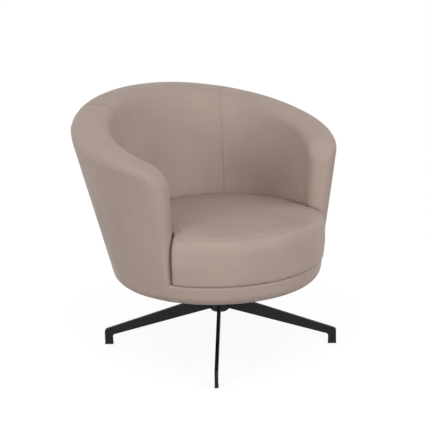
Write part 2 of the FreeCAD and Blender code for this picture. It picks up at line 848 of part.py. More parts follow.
class Slice:
    """An upright slice through the wall: its straight sides, rim arcs and foot arc at an inset."""

    def __init__(self, angle, inset=0.0, squeeze=0.0, foot=None):
        self.angle = angle
        self.lean = math.sqrt(1 + (slice_lean_share * math.sin(math.radians(angle))) ** 2)
        self.side_lean = slice_lean_share * math.cos(math.radians(angle))
        self.base = cone_height
        left_over = 1 - squeeze
        top = rim_height(angle) - nose_drop(angle, inset)
        low, high = tub_bottom, top - number("rim_outer_radius")
        outer = [self.flat(reach_of(outer_circle, angle, z), z) for z in (low, high)]
        inner = [self.flat(reach_of(well_circle, angle, z), z) for z in (low, high)]
        out_lean = (outer[1] - outer[0]).unit()
        in_lean = (inner[1] - inner[0]).unit()
        outer = [point - Flat(inset / out_lean.v, 0) for point in outer]
        inner = [point + Flat(inset / in_lean.v, 0) for point in inner]
        middle = [(a + b) * 0.5 for a, b in zip(outer, inner)]
        outer = [m + (point - m) * left_over for m, point in zip(middle, outer)]
        inner = [m + (point - m) * left_over for m, point in zip(middle, inner)]
        self.outer, self.inner = outer, inner
        self.t_out = (outer[1] - outer[0]).unit()
        self.t_in = (inner[1] - inner[0]).unit()
        top_v = (top + number("rim_crown_lift") - self.base) * self.lean - inset
        r_out = (number("rim_outer_radius") - inset) * left_over
        r_in = (number("rim_inner_radius") - inset) * left_over
        room = (outer[1] - inner[1]).length() * rim_fill_share
        fit = min(1.0, room / (r_out + r_in))
        self.r_out, self.r_in = r_out * fit, r_in * fit
        self.crown = number("rim_crown_radius") - inset
        self.c_out = self.on_line(outer[0] - self.t_out.out() * self.r_out, self.t_out, top_v - self.r_out)
        self.c_in = self.on_line(inner[0] + self.t_in.out() * self.r_in, self.t_in, top_v - self.r_in)
        self.c_top = self.crown_centre()
        bottom = tub_bottom if foot is None else foot
        self.bottom_v = (bottom - self.base) * self.lean + inset
        self.r_foot = number("tub_corner_radius") - inset
        foot_line = outer[0] - self.t_out.out() * self.r_foot
        self.c_foot = self.on_line(foot_line, self.t_out, self.bottom_v + self.r_foot)

    def flat(self, reach, z):
        rise = z - self.base
        return Flat(reach + self.side_lean * rise, rise * self.lean)

    def space(self, point):
        """The point of a slice in the chair's frame."""
        turn = math.radians(self.angle)
        along = heading(self.angle)
        tilt = slice_lean_share * math.sin(turn)
        up = Vector(-tilt * math.cos(turn), tilt * math.sin(turn), 1)
        origin = Vector(0, number("cone_centre"), self.base)
        return origin + along * point.u + up * (point.v / self.lean)

    @staticmethod
    def on_line(point, direction, v):
        return point + direction * ((v - point.v) / direction.v)

    def crown_centre(self):
        """Centre of the shallow arc that touches both rim arcs from above."""
        a, b = self.crown - self.r_out, self.crown - self.r_in
        gap = self.c_in - self.c_out
        span = gap.length()
        along = (a * a - b * b + span * span) / (2 * span)
        drop = math.sqrt(a * a - along * along)
        way = gap.unit()
        side = way.out()
        side = side if side.v < 0 else side * -1
        return self.c_out + way * along + side * drop

    def rim_point(self, centre, radius, turn=None):
        """Where a rim arc meets the crown, or the point a turn along the outer arc."""
        if turn is None:
            return centre + (centre - self.c_top).unit() * radius
        start = math.atan2(self.t_out.out().v, self.t_out.out().u) + math.radians(turn)
        return centre + Flat(math.cos(start), math.sin(start)) * radius

    def arc(self, centre, start, end):
        """Edge of an arc about a centre, the short way from start to end."""
        radius = (start - centre).length()
        middle = centre + ((start - centre) + (end - centre)).unit() * radius
        return Part.Arc(self.space(start), self.space(middle), self.space(end)).toShape()

    def line(self, start, end):
        return Part.LineSegment(self.space(start), self.space(end)).toShape()

    def points(self):
        """The turning points of the wall's outline, from the foot over the rim to the well."""
        c, n_out, n_in = self, self.t_out.out(), self.t_in.out()
        return {
            "foot_in": c.c_foot + Flat(0, -1) * c.r_foot,
            "foot_out": c.c_foot + n_out * c.r_foot,
            "side_top": c.c_out + n_out * c.r_out,
            "crown_out": c.rim_point(c.c_out, c.r_out),
            "crown_in": c.rim_point(c.c_in, c.r_in),
            "well_top": c.c_in - n_in * c.r_in,
            "well_foot": c.on_line(c.inner[0], c.t_in, c.bottom_v),
        }

    def solid_wire(self, rounded_foot=True):
        """The closed outline of the wall."""
        p = self.points()
        edges = []
        if rounded_foot:
            edges.append(self.arc(self.c_foot, p["foot_in"], p["foot_out"]))
            start = p["foot_in"]
            edges.append(self.line(p["foot_out"], p["side_top"]))
        else:
            start = self.on_line(self.outer[0], self.t_out, self.bottom_v)
            edges.append(self.line(start, p["side_top"]))
        edges += [
            self.arc(self.c_out, p["side_top"], p["crown_out"]),
            self.arc(self.c_top, p["crown_out"], p["crown_in"]),
            self.arc(self.c_in, p["crown_in"], p["well_top"]),
            self.line(p["well_top"], p["well_foot"]),
            self.line(p["well_foot"], start),
        ]
        return Part.Wire(edges)


def nose_drop(angle, inset):
    """How far the rim has come down near an arm front: a quarter of an ellipse."""
    length = number("nose_corner_length") - inset
    height = number("nose_corner_height") - inset
    left = math.radians(WALL_END + NOSE_TURN - abs(angle)) * WALL_RADIUS - inset
    if left >= length:
        return 0.0
    share = 1 - max(left, 0.0) / length
    return height * (1 - math.sqrt(max(0.0, 1 - share * share)))


def wall_angles(start, end):
    """Headings of evenly spaced slices, both ends included."""
    count = round((end - start) / SLICE_STEP)
    return [start + (end - start) * i / count for i in range(count + 1)]


corner_turn = math.degrees(number("nose_corner_length") / WALL_RADIUS)
first_drop = WALL_END + NOSE_TURN - corner_turn


def with_corner_slices(angles):
    """Add slices where the rim comes down at the right arm front."""
    near = first_drop * 2 / 3 + WALL_END / 3
    far = first_drop / 3 + WALL_END * 2 / 3
    extra = [angle for angle in (first_drop, near, far) if angles[0] < angle < angles[-1]]
    return sorted(angles + extra)


def loft(wires):
    shape = Part.makeLoft(wires, True, False)
    return shape.Solids[0] if shape.Solids else shape


def nose_solid(inset, foot_drop=0.0):
    """The rounded front of the right arm, standing on the front band."""
    wires = []
    length = number("nose_length") - inset
    for turn in NOSE_TURNS:
        angle = WALL_END + math.degrees(length * math.sin(math.radians(turn)) / WALL_RADIUS)
        squeeze = 1 - math.cos(math.radians(turn))
        piece = Slice(angle, inset, squeeze, foot=soft_floor - inset - foot_drop)
        wires.append(piece.solid_wire(rounded_foot=False))
    return loft(wires)


# Covers: ribbons of leather that follow the wall

def outside_ribbon(angle, near, far):
    """Outline of the outside cover: turned under the board, up the side and on to the rim."""
    edges = []
    ends = []
    for inset in (near, far):
        piece = Slice(angle, inset)
        p = piece.points()
        hem = p["foot_in"] - Flat(number("cover_turn_under"), 0)
        seam = piece.rim_point(piece.c_out, piece.r_out, RIM_SEAM_TURN)
        edges.append([
            piece.line(hem, p["foot_in"]),
            piece.arc(piece.c_foot, p["foot_in"], p["foot_out"]),
            piece.line(p["foot_out"], p["side_top"]),
            piece.arc(piece.c_out, p["side_top"], seam),
        ])
        ends.append((piece.space(hem), piece.space(seam)))
    return ribbon_wire(edges, ends)


def ribbon_wire(edges, ends):
    """Close two parallel runs of edges into one outline."""
    hem = Part.LineSegment(ends[1][0], ends[0][0]).toShape()
    seam = Part.LineSegment(ends[0][1], ends[1][1]).toShape()
    return Part.Wire(edges[0] + [seam] + edges[1][::-1] + [hem])


def inside_ribbon(angle, near, far):
    """Outline of an inside panel: from the rim seam over the rim and down to the deck."""
    edges = []
    ends = []
    for inset in (near, far):
        piece = Slice(angle, inset)
        p = piece.points()
        seam_play = math.degrees(number("cover_gap") / piece.r_out)
        seam = piece.rim_point(piece.c_out, piece.r_out, RIM_SEAM_TURN + seam_play)
        hem = piece.on_line(piece.inner[0], piece.t_in, (soft_floor - piece.base) * piece.lean)
        edges.append([
            piece.arc(piece.c_out, seam, p["crown_out"]),
            piece.arc(piece.c_top, p["crown_out"], p["crown_in"]),
            piece.arc(piece.c_in, p["crown_in"], p["well_top"]),
            piece.line(p["well_top"], hem),
        ])
        ends.append((piece.space(seam), piece.space(hem)))
    return ribbon_wire(edges, ends)


def front_ribbon(angle, near, far):
    """Outline of the front band cover: turned under, up the front, over the rail."""
    edges = []
    ends = []
    for inset in (near, far):
        piece = Slice(angle, inset)
        p = piece.points()
        hem = p["foot_in"] - Flat(number("cover_turn_under"), 0)
        centre, side, top = band_edge(piece, inset)
        inner_end = top - Flat(number("band_top_width"), 0)
        edges.append([
            piece.line(hem, p["foot_in"]),
            piece.arc(piece.c_foot, p["foot_in"], p["foot_out"]),
            piece.line(p["foot_out"], side),
            piece.arc(centre, side, top),
            piece.line(top, inner_end),
        ])
        ends.append((piece.space(hem), piece.space(inner_end)))
    return ribbon_wire(edges, ends)


def band_edge(piece, inset):
    """Centre and ends of the rounded top edge of the front band."""
    radius = number("band_edge_radius") - inset
    top_v = (band_top - piece.base) * piece.lean - inset
    start = piece.outer[0] - piece.t_out.out() * radius
    centre = piece.on_line(start, piece.t_out, top_v - radius)
    return centre, centre + piece.t_out.out() * radius, centre + Flat(0, radius)


def panel(ribbon, angles, near, far):
    return loft([ribbon(angle, near, far) for angle in angles])


def mirrored(shape):
    """The same shape on the other side of the chair."""
    return shape.mirror(Vector(), Vector(1, 0, 0))


right_outside = panel(outside_ribbon, with_corner_slices(wall_angles(0.0, WALL_END)), 0.0, leather)
fixed_shape("cover_outside", merged([right_outside, mirrored(right_outside)]))

back_angles = wall_angles(-SIDE_SEAM, SIDE_SEAM)
fixed_shape("cover_inside_back", panel(inside_ribbon, back_angles, 0.0, leather))


def arm_cover():
    """Right inside arm panel with the leather that wraps the rounded arm front."""
    strip = panel(inside_ribbon, with_corner_slices(wall_angles(SIDE_SEAM, WALL_END)), 0.0, leather)
    front = nose_solid(0.0).cut(nose_solid(leather, number("cut_overrun")))
    return merged([strip, front])


right_arm_cover = arm_cover()
fixed_shape("cover_inside_left", mirrored(right_arm_cover))
fixed_shape("cover_inside_right", right_arm_cover)

front_angles = wall_angles(WALL_END, 360 - WALL_END)
fixed_shape("cover_front_band", panel(front_ribbon, front_angles, 0.0, leather))


# Curved rails, each a quarter of a ring on the board

def make_rail(label, yaw):
    ring_parts = []
    radii = {"outer": size.rail_outer_radius, "inner": size.rail_outer_radius - size.rail_width}
    for part, radius in radii.items():
        drum = doc.addObject("Part::Cylinder", "%s_%s" % (label, part))
        drum.setExpression("Radius", radius.text)
        drum.setExpression("Height", size.rail_height.text)
        drum.Angle = 90.0
        drum.Placement = Placement(Vector(0, frame_middle, board_top), Rotation(Vector(0, 0, 1), yaw))
        ring_parts.append(drum)
    quarter = doc.addObject("Part::Cut", label + "_quarter")
    quarter.Base, quarter.Tool = ring_parts
    drilled = doc.addObject("Part::Cut", label + "_drilled")
    drilled.Base = quarter
    drilled.Tool = doc.addObject("Part::Feature", label + "_screw_holes")
    drilled.Tool.Shape = Part.makeCompound(rail_screw_holes + foot_screw_holes)
    doc.recompute()
    keep(drilled, label)


# Welded back frame: posts with foot plates under a rim tube that follows the rim

def rim_tube_point(angle):
    return wall_middle(angle, rim_height(angle) - number("rim_tube_depth"))


rim_arc = Part.Arc(rim_tube_point(-RIM_TUBE_END), rim_tube_point(0.0), rim_tube_point(RIM_TUBE_END))


def rim_tube(radius):
    """A round bar of a radius bent along the rim arc."""
    start = rim_arc.value(rim_arc.FirstParameter)
    along = rim_arc.tangent(rim_arc.FirstParameter)[0]
    ring = Part.Wire(Part.Circle(start, along, radius).toShape())
    return Part.Wire(rim_arc.toShape()).makePipe(Part.Face(ring))


rim_bar = rim_tube(number("rim_tube_radius"))
rim_bore = rim_tube(number("rim_tube_radius") - number("tube_wall"))
fixed_shape("rim_tube", rim_bar.cut(rim_bore))

post_circle = number("rail_outer_radius") - number("post_circle_inset")
foot_top = rail_top + number("post_foot_thickness")


def post_line(angle):
    """Start on the foot plate and end on the rim tube of the post at an angle from the back."""
    start = Vector(0, frame_middle, foot_top) + heading(angle) * post_circle
    middle = (rim_arc.FirstParameter + rim_arc.LastParameter) / 2
    half = (rim_arc.LastParameter - rim_arc.FirstParameter) / 2
    return start, rim_arc.value(middle + half * angle / RIM_TUBE_END)


def post_bar(angle, radius, below=0.0):
    """A round bar along a post, started a little below its foot plate's top."""
    start, end = post_line(angle)
    way = end - start
    way.normalize()
    start = start - way * below
    return cylinder(radius, (end - start).Length, start, way)


def foot_frame(angle):
    """Turns a foot plate or its screws to face the swivel axis."""
    return Placement(Vector(0, frame_middle, 0), Rotation(Vector(0, 0, 1), -angle))


def foot_screw_places(angle):
    for side in (-1, 1):
        place = Vector(side * number("post_screw_offset"), post_circle, foot_top)
        yield foot_frame(angle).multVec(place)


post_angles = [side * angle for angle in POST_ANGLES.values() for side in (-1, 1)]
foot_screws = [wood_screw(place, downwards, number("foot_screw_length"))
               for angle in post_angles for place in foot_screw_places(angle)]
foot_screw_holes = [wood_screw(place, downwards, number("foot_screw_length"), number("hole_play"))
                    for angle in post_angles for place in foot_screw_places(angle)]
fixed_shape("post_screws", Part.makeCompound(foot_screws))

for turn, rail_name in enumerate(RAIL_NAMES):
    make_rail(rail_name, 45 + 90 * turn)

rim_weld = rim_tube(number("rim_tube_radius") + number("weld_gap"))


def make_post(label, angle):
    """A tube post welded on its foot plate, its top trimmed to the rim tube."""
    length, width = number("post_foot_length"), number("post_foot_width")
    thickness = number("post_foot_thickness")
    plate = Part.makeBox(length, width, thickness, Vector(-length / 2, post_circle - width / 2, rail_top))
    plate.Placement = foot_frame(angle)
    tube = post_bar(angle, number("post_radius"), thickness / 2)
    bore = post_bar(angle, number("post_radius") - number("tube_wall"), thickness)
    over = 2 * number("rail_outer_radius")
    above_rail = Part.makeBox(2 * over, 2 * over, 2 * over, Vector(-over, frame_middle - over, rail_top))
    above_plate = above_rail.translated(Vector(0, 0, thickness))
    post = merged([plate, tube.cut(rim_weld).common(above_rail)]).cut(bore.common(above_plate))
    fixed_shape(label, largest(post.cut(Part.makeCompound(foot_screw_holes))))


for post_name, post_angle in POST_ANGLES.items():
    make_post("post_%s_left" % post_name, -post_angle)
    make_post("post_%s_right" % post_name, post_angle)

# Webbing and deck

strap_reach = number("rail_outer_radius") - number("strap_edge_inset")
strap_places = [number("strap_spacing") * share for share in (-1.5, -0.5, 0.5, 1.5)]


def strap(offset, level, across):
    """One strap: front to back, or across when asked, its ends on the rails."""
    half_width = number("strap_width") / 2
    half = math.sqrt(strap_reach ** 2 - (abs(offset) + half_width) ** 2)
    base = rail_top + level * number("strap_thickness")
    if across:
        corner = Vector(-half, frame_middle + offset - half_width, base)
        return Part.makeBox(2 * half, 2 * half_width, number("strap_thickness"), corner)
    corner = Vector(offset - half_width, frame_middle - half, base)
    return Part.makeBox(2 * half_width, 2 * half, number("strap_thickness"), corner)


fixed_shape("straps_front_to_back", Part.makeCompound([strap(place, 0, False) for place in strap_places]))
fixed_shape("straps_side_to_side", Part.makeCompound([strap(place, 1, True) for place in strap_places]))


def cloth_disc(label, radius, thickness, height):
    disc = doc.addObject("Part::Cylinder", label + "_disc")
    disc.setExpression("Radius", radius.text)
    disc.setExpression("Height", thickness.text)
    disc.Placement = Placement(Vector(0, frame_middle, height), Rotation())
    return disc


keep(cloth_disc("deck_cloth", size.deck_cloth_radius, size.deck_cloth_thickness, strap_top), "deck_cloth")

dust_cover_bottom = tub_bottom - number("dust_cover_thickness")
dust_hole = doc.addObject("Part::Cylinder", "dust_cover_hole")
dust_hole.setExpression("Radius", size.dust_cover_hole_radius.text)
dust_hole.setExpression("Height", size.dust_cover_thickness.text)
dust_hole.Placement = Placement(Vector(0, 0, dust_cover_bottom), Rotation())
dust_disc = cloth_disc("dust_cover", size.dust_cover_radius, size.dust_cover_thickness, dust_cover_bottom)
dust_cover = doc.addObject("Part::Cut", "dust_cover_ring")
dust_cover.Base = dust_disc
dust_cover.Tool = dust_hole
keep(dust_cover, "dust_cover")

# Foam of the wall in five blocks glued edge to edge, and pad of the front band, hollowed for the frame

foam_inset = leather + number("cover_gap")
gap = number("soft_gap")


def frame_room():
    """The space that the board, the rails, the straps and the back frame take out of the foam."""
    below = tub_bottom - number("cut_overrun")
    base = Vector(0, frame_middle, below)
    room = [cylinder(number("board_radius") + gap, board_top + gap - below, base)]
    rail_base = Vector(0, frame_middle, board_top - gap)
    rail_room = cylinder(number("rail_outer_radius") + gap, deck_top + gap - rail_base.z, rail_base)
    return room + [rail_room]


def tube_room():
    bars = [post_bar(angle, number("post_radius") + gap, number("cut_overrun")) for angle in post_angles]
    return bars + [rim_tube(number("rim_tube_radius") + gap)]


def foam_block(start, end):
    """The foam of the wall from one heading to another, with the arm front where it ends in one."""
    angles = with_corner_slices(wall_angles(start, end))
    block = loft([Slice(angle, foam_inset).solid_wire() for angle in angles])
    if end == WALL_END:
        block = merged([block, nose_solid(foam_inset)])
    return largest(block.cut(frame_room()).cut(tube_room()))


right_side_foam = foam_block(BACK_FOAM_JOINT, SIDE_FOAM_JOINT)
right_arm_foam = foam_block(SIDE_FOAM_JOINT, WALL_END)
fixed_shape("foam_back", foam_block(-BACK_FOAM_JOINT, BACK_FOAM_JOINT))
fixed_shape("foam_side_left", mirrored(right_side_foam))
fixed_shape("foam_side_right", right_side_foam)
fixed_shape("foam_arm_left", mirrored(right_arm_foam))
fixed_shape("foam_arm_right", right_arm_foam)


def band_wire(angle):
    """Outline of the front band's pad before the frame is taken out of it."""
    piece = Slice(angle, foam_inset)
    p = piece.points()
    centre, side, top = band_edge(piece, foam_inset)
    inner_top = top - Flat(number("band_top_width"), 0)
    inner_foot = Flat(inner_top.u, p["foot_in"].v)
    return Part.Wire([
        piece.arc(piece.c_foot, p["foot_in"], p["foot_out"]),
        piece.line(p["foot_out"], side),
        piece.arc(centre, side, top),
        piece.line(top, inner_top),
        piece.line(inner_top, inner_foot),
        piece.line(inner_foot, p["foot_in"]),
    ])


front_pad = loft([band_wire(angle) for angle in front_angles]).cut(frame_room())
fixed_shape("front_pad", largest(front_pad))

# Cushion: crowned, drawn in at top and bottom, with ears in front of the arms

cushion_top = soft_floor + number("cushion_height")


def circles_meet(first, first_radius, second, second_radius):
    """The crossing of two circles that lies further to the front."""
    way = second - first
    span = way.Length
    along = (first_radius ** 2 - second_radius ** 2 + span ** 2) / (2 * span)
    across = math.sqrt(first_radius ** 2 - along ** 2)
    way.normalize()
    normal = Vector(-way.y, way.x, 0)
    choices = [first + way * along + normal * across, first + way * along - normal * across]
    return min(choices, key=lambda place: place.y)


def nose_centre(side, z):
    """Middle of the round that the cushion leaves free for an arm front, level with the wall's end."""
    centre, radius = well_circle(z)
    distance = radius - number("cushion_side_clearance") + number("cushion_nose_radius")
    shift = centre - slice_axis(z)
    turn = math.radians(WALL_END)
    reach = shift * math.cos(turn) + math.sqrt(distance ** 2 - (shift * math.sin(turn)) ** 2)
    return Vector(0, slice_axis(z), z) + heading(side * WALL_END) * reach


def level_arc(centre, start, end, near):
    """A level arc from start to end whose middle lies towards a point."""
    radius = (start - centre).Length
    way = near - centre
    way.normalize()
    return Part.Arc(start, centre + way * radius, end).toShape()


def half_outline(side, z, front_in, rear_in):
    """Arcs of one half of a cushion outline, from the middle of the rear to the middle of the front."""
    well_y, well_radius = well_circle(z)
    rear = Vector(0, well_y, z)
    rear_radius = well_radius - number("cushion_side_clearance") - rear_in
    front = Vector(0, number("cushion_front_centre"), z)
    front_radius = number("cushion_front_radius") - front_in
    nose = nose_centre(side, z)
    nose_radius = (nose - rear).Length - rear_radius
    ear_radius = number("cushion_ear_radius")
    ear = circles_meet(nose, nose_radius + ear_radius, front, front_radius - ear_radius)

    def towards(start, end, distance):
        way = end - start
        way.normalize()
        return start + way * distance

    rear_middle = rear + Vector(0, rear_radius, 0)
    rear_end = towards(rear, nose, rear_radius)
    nose_end = towards(nose, ear, nose_radius)
    ear_end = towards(front, ear, front_radius)
    front_middle = front - Vector(0, front_radius, 0)
    return [
        level_arc(rear, rear_middle, rear_end, (rear_middle + rear_end) / 2),
        level_arc(nose, rear_end, nose_end, (rear_end + nose_end) / 2),
        level_arc(ear, nose_end, ear_end, (nose_end + ear_end) / 2 + (ear_end - front)),
        level_arc(front, ear_end, front_middle, (ear_end + front_middle) / 2),
    ]


def cushion_outline(z, front_in, rear_in):
    right = half_outline(1, z, front_in, rear_in)
    left = half_outline(-1, z, front_in, rear_in)
    return Part.Wire(right + left[::-1])


def cushion_solid(inset):
    """The cushion at an inset from its outside."""
    height = number("cushion_height")
    wires = []
    for level_share, front_share, rear_share in cushion_level_shares:
        z = soft_floor + inset + level_share * (height - 2 * inset)
        wires.append(cushion_outline(z, front_share * height + inset, rear_share * height + inset))
    crown_radius = number("cushion_crown_radius")
    crown_centre = Vector(0, -number("cushion_crown_forward"), cushion_top - crown_radius)
    return largest(loft(wires).common(Part.makeSphere(crown_radius - inset, crown_centre)))


def cushion_plug(inset, low, high):
    """A flat slab with the outline of the cushion's underside, its heights from that underside."""
    _, front_share, rear_share = cushion_level_shares[0]
    height = number("cushion_height")
    wire = cushion_outline(soft_floor, front_share * height + inset, rear_share * height + inset)
    slab = Part.Face(wire).extrude(Vector(0, 0, high - low))
    return slab.translated(Vector(0, 0, low))


def cushion_layer(outer_inset, inner_inset, opening):
    """A layer of the cushion between two insets, open on the underside."""
    slot = cushion_plug(opening, -number("cut_overrun"), inner_inset + gap)
    return largest(cushion_solid(outer_inset).cut(cushion_solid(inner_inset).fuse(slot)))


opening = number("cushion_opening_inset")
wrap_inset = leather + gap
core_inset = wrap_inset + number("cushion_wrap")
fixed_shape("cushion_cover", cushion_layer(0.0, leather, opening))
fixed_shape("cushion_underside", cushion_plug(opening + gap, 0.0, leather))
fixed_shape("cushion_wrap", cushion_layer(wrap_inset, core_inset - gap / 2, 2 * opening))
fixed_shape("cushion_core", cushion_solid(core_inset))

# Check every object and write the pieces

doc.recompute()
for item in doc.Objects:
    if "Invalid" in item.State or "Error" in item.State:
        raise RuntimeError("%s did not build" % item.Name)
for label, piece in pieces.items():
    if piece.Shape.isNull() or not piece.Shape.isValid():
        raise RuntimeError("%s is not a valid shape" % label)

os.makedirs("parts", exist_ok=True)
for label, piece in pieces.items():
    piece.Shape.exportStep(os.path.join("parts", label + ".step"))
    litres = piece.Shape.Volume / 1e6
    print("%-24s %2d solids %9.4f litres" % (label, len(piece.Shape.Solids), litres))
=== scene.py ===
import bmesh
import bpy
import json
import math
import numpy as np
from mathutils import Matrix, Vector, noise
from mathutils.bvhtree import BVHTree
from mathutils.kdtree import KDTree


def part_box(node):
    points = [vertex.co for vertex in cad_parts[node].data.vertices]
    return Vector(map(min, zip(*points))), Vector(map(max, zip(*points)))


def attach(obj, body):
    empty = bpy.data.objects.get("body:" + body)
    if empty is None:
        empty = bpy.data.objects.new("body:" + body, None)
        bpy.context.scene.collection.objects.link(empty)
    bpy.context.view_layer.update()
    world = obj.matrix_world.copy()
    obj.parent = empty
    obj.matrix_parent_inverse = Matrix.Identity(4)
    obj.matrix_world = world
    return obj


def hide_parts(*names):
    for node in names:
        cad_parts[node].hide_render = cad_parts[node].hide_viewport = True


# Swivel tub armchair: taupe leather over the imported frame, satin black base.
# Metres, in the chair's own frame: -Y is the front of the seat and +Z is up.

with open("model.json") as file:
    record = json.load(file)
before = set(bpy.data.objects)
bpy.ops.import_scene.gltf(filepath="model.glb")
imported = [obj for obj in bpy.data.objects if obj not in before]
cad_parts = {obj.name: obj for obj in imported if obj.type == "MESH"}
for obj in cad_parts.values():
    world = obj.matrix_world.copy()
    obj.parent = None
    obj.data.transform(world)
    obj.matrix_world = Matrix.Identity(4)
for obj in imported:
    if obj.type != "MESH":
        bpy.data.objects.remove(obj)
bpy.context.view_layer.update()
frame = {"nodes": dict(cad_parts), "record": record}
nodes = frame["nodes"]

# Heights and radii of the tub

TUB_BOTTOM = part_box("cover_outside")[0].z
SOFT_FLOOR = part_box("cushion_cover")[0].z
BAND_TOP = SOFT_FLOOR - 0.0003
CONE_HEIGHT = TUB_BOTTOM + 0.031
CONE_RADIUS = 0.3144
CONE_CENTRE = 0.011
CONE_FLARE_SHARE = 0.213
CONE_LEAN_SHARE = 0.125
SEAT_HEIGHT = TUB_BOTTOM + 0.208
WELL_RADIUS = 0.2689
WELL_CENTRE = -0.0053
WELL_FLARE_SHARE = 0.105
WELL_LEAN_SHARE = 0.192
SLICE_LEAN_SHARE = 0.08
CORNER_RADIUS = 0.034
HEM_WIDTH = 0.042

RIM_MEAN_HEIGHT = TUB_BOTTOM + 0.4348
RIM_WAVES = (0.0886, -0.0072, 0.0046)
RIM_OUTER_RADIUS = 0.043
RIM_INNER_RADIUS = 0.038
RIM_CROWN_RADIUS = 0.22
RIM_CROWN_LIFT = 0.0024
RIM_FILL_SHARE = 0.96
RIM_TIGHT_HEADINGS = (75, 118)
RIM_TIGHTENING = 0.4
RIM_SEAM_TIGHTENING = 0.5

NOSE_LENGTH = 0.031
NOSE_CORNER_LENGTH = 0.052
NOSE_CORNER_HEIGHT = 0.052
WALL_RADIUS = (CONE_RADIUS + WELL_RADIUS) / 2 + NOSE_LENGTH
FRONT_RAKE_HEIGHT = 0.317
FRONT_RAKE = (-0.0105, 0.0197, -0.0409, 0.1311, -0.0994)

BAND_EDGE_RADIUS = 0.007
BAND_TOP_WIDTH = 0.044

# Headings in degrees from the middle of the back

WALL_END = 120.0
SIDE_SEAM = 40.0
NOSE_TURN = math.degrees(NOSE_LENGTH / WALL_RADIUS)
HEADING_STEP = 2.0
LEAST_HEADING_STEP = 0.05
RIM_SEAM_STEP = 0.2

# Turns on the rim's outer corner, in degrees up from level

RIM_SEAM_TURN = 36.0
RIM_TOP_TURN = 72.0

# Seams and stitching

SEAM_DEPTH = 0.0010
SEAM_WIDTH = 0.0013
SEAM_PUFF = 0.00035
SEAM_PUFF_AT = 0.006
SEAM_STEPS = (0.0, 0.0007, 0.0014, 0.0023, 0.0038, 0.006, 0.0095)
STITCH_LENGTH = 0.0048
STITCH_GAP = 0.0013
STITCH_RADIUS = 0.00042
STITCH_OFFSET = 0.0045

# Meshes: points closer than MERGE_REACH are welded

MERGE_REACH = 0.00008
SHORTEST_EDGE = 0.00002
SEAM_POINT_STEP = 0.001

# Slow swell of the leather: how many waves a metre, and how high

WIDE_SWELL = (9, 0.0006)
NARROW_SWELL = (24, 0.00022)
SWELL_FADE = 0.03


# Shape of the wall: upright slices, each a closed run of lines and arcs

def unit(vector):
    return vector / np.linalg.norm(vector)


def eased(value, low, high):
    """A smooth step from 0 at a low value to 1 at a high one."""
    share = min(1.0, max(0.0, (value - low) / (high - low)))
    return share * share * (3 - 2 * share)


def hump(value, middle, width):
    """A smooth rise to 1 at the middle, and down again."""
    return math.exp(-((value - middle) / width) ** 2)


def outward(direction):
    """A quarter turn clockwise: outwards of an upward line."""
    return np.array([direction[1], -direction[0]])


def outer_circle(z):
    rise = z - CONE_HEIGHT
    return CONE_CENTRE + CONE_LEAN_SHARE * rise, CONE_RADIUS + CONE_FLARE_SHARE * rise


def well_circle(z):
    rise = z - SEAT_HEIGHT
    return WELL_CENTRE + WELL_LEAN_SHARE * rise, WELL_RADIUS + WELL_FLARE_SHARE * rise


def slice_axis(z):
    return CONE_CENTRE + SLICE_LEAN_SHARE * (z - CONE_HEIGHT)


def reach_of(circle, angle, z):
    """Distance from the slice axis to a circle of the tub, along a heading."""
    centre, radius = circle(z)
    shift = centre - slice_axis(z)
    turn = math.radians(angle)
    return shift * math.cos(turn) + math.sqrt(radius ** 2 - (shift * math.sin(turn)) ** 2)


def rim_height(angle):
    turn = math.radians(angle)
    waves = sum(wave * math.cos((i + 1) * turn) for i, wave in enumerate(RIM_WAVES))
    return RIM_MEAN_HEIGHT + waves


def nose_drop(angle):
    """How far the rim has come down near an arm front: a quarter of an ellipse."""
    left = math.radians(WALL_END + NOSE_TURN - abs(angle)) * WALL_RADIUS
    if left >= NOSE_CORNER_LENGTH:
        return 0.0
    share = 1 - max(left, 0.0) / NOSE_CORNER_LENGTH
    return NOSE_CORNER_HEIGHT * (1 - math.sqrt(max(0.0, 1 - share * share)))


def front_rake(z):
    """How far an arm front reaches forward at a height: set back at the cushion, fuller near the rim."""
    share = np.clip((np.asarray(z) - SOFT_FLOOR) / FRONT_RAKE_HEIGHT, 0, 1)
    return sum(term * share ** i for i, term in enumerate(FRONT_RAKE))


def forward(heading):
    """The level direction along the wall towards the nearer arm's tip."""
    turn = math.radians(heading)
    return math.copysign(1, heading) * np.array([math.cos(turn), -math.sin(turn), 0])


def line_points(start, end, shares):
    return [start + (end - start) * share for share in shares]


def arc_points(centre, start, end, shares):
    """Points on the shorter arc from start to end."""
    first = math.atan2(*(start - centre)[::-1])
    sweep = math.atan2(*(end - centre)[::-1]) - first
    sweep = (sweep + math.pi) % (2 * math.pi) - math.pi
    radius = np.linalg.norm(start - centre)
    turns = [first + sweep * share for share in shares]
    return [centre + radius * np.array([math.cos(turn), math.sin(turn)]) for turn in turns]


def even(count):
    return [i / count for i in range(count + 1)]


def fine(length, count, at_start=False, at_end=False):
    """Shares along a run of some length, close together beside a seam at either end."""
    near = SEAM_STEPS[-1] / length
    first = [step / length for step in SEAM_STEPS[:-1]] if at_start else []
    last = [1 - step / length for step in SEAM_STEPS[-2::-1]] if at_end else []
    low = near if at_start else 0.0
    high = 1 - near if at_end else 1.0
    return first + [low + (high - low) * share for share in even(count)] + last


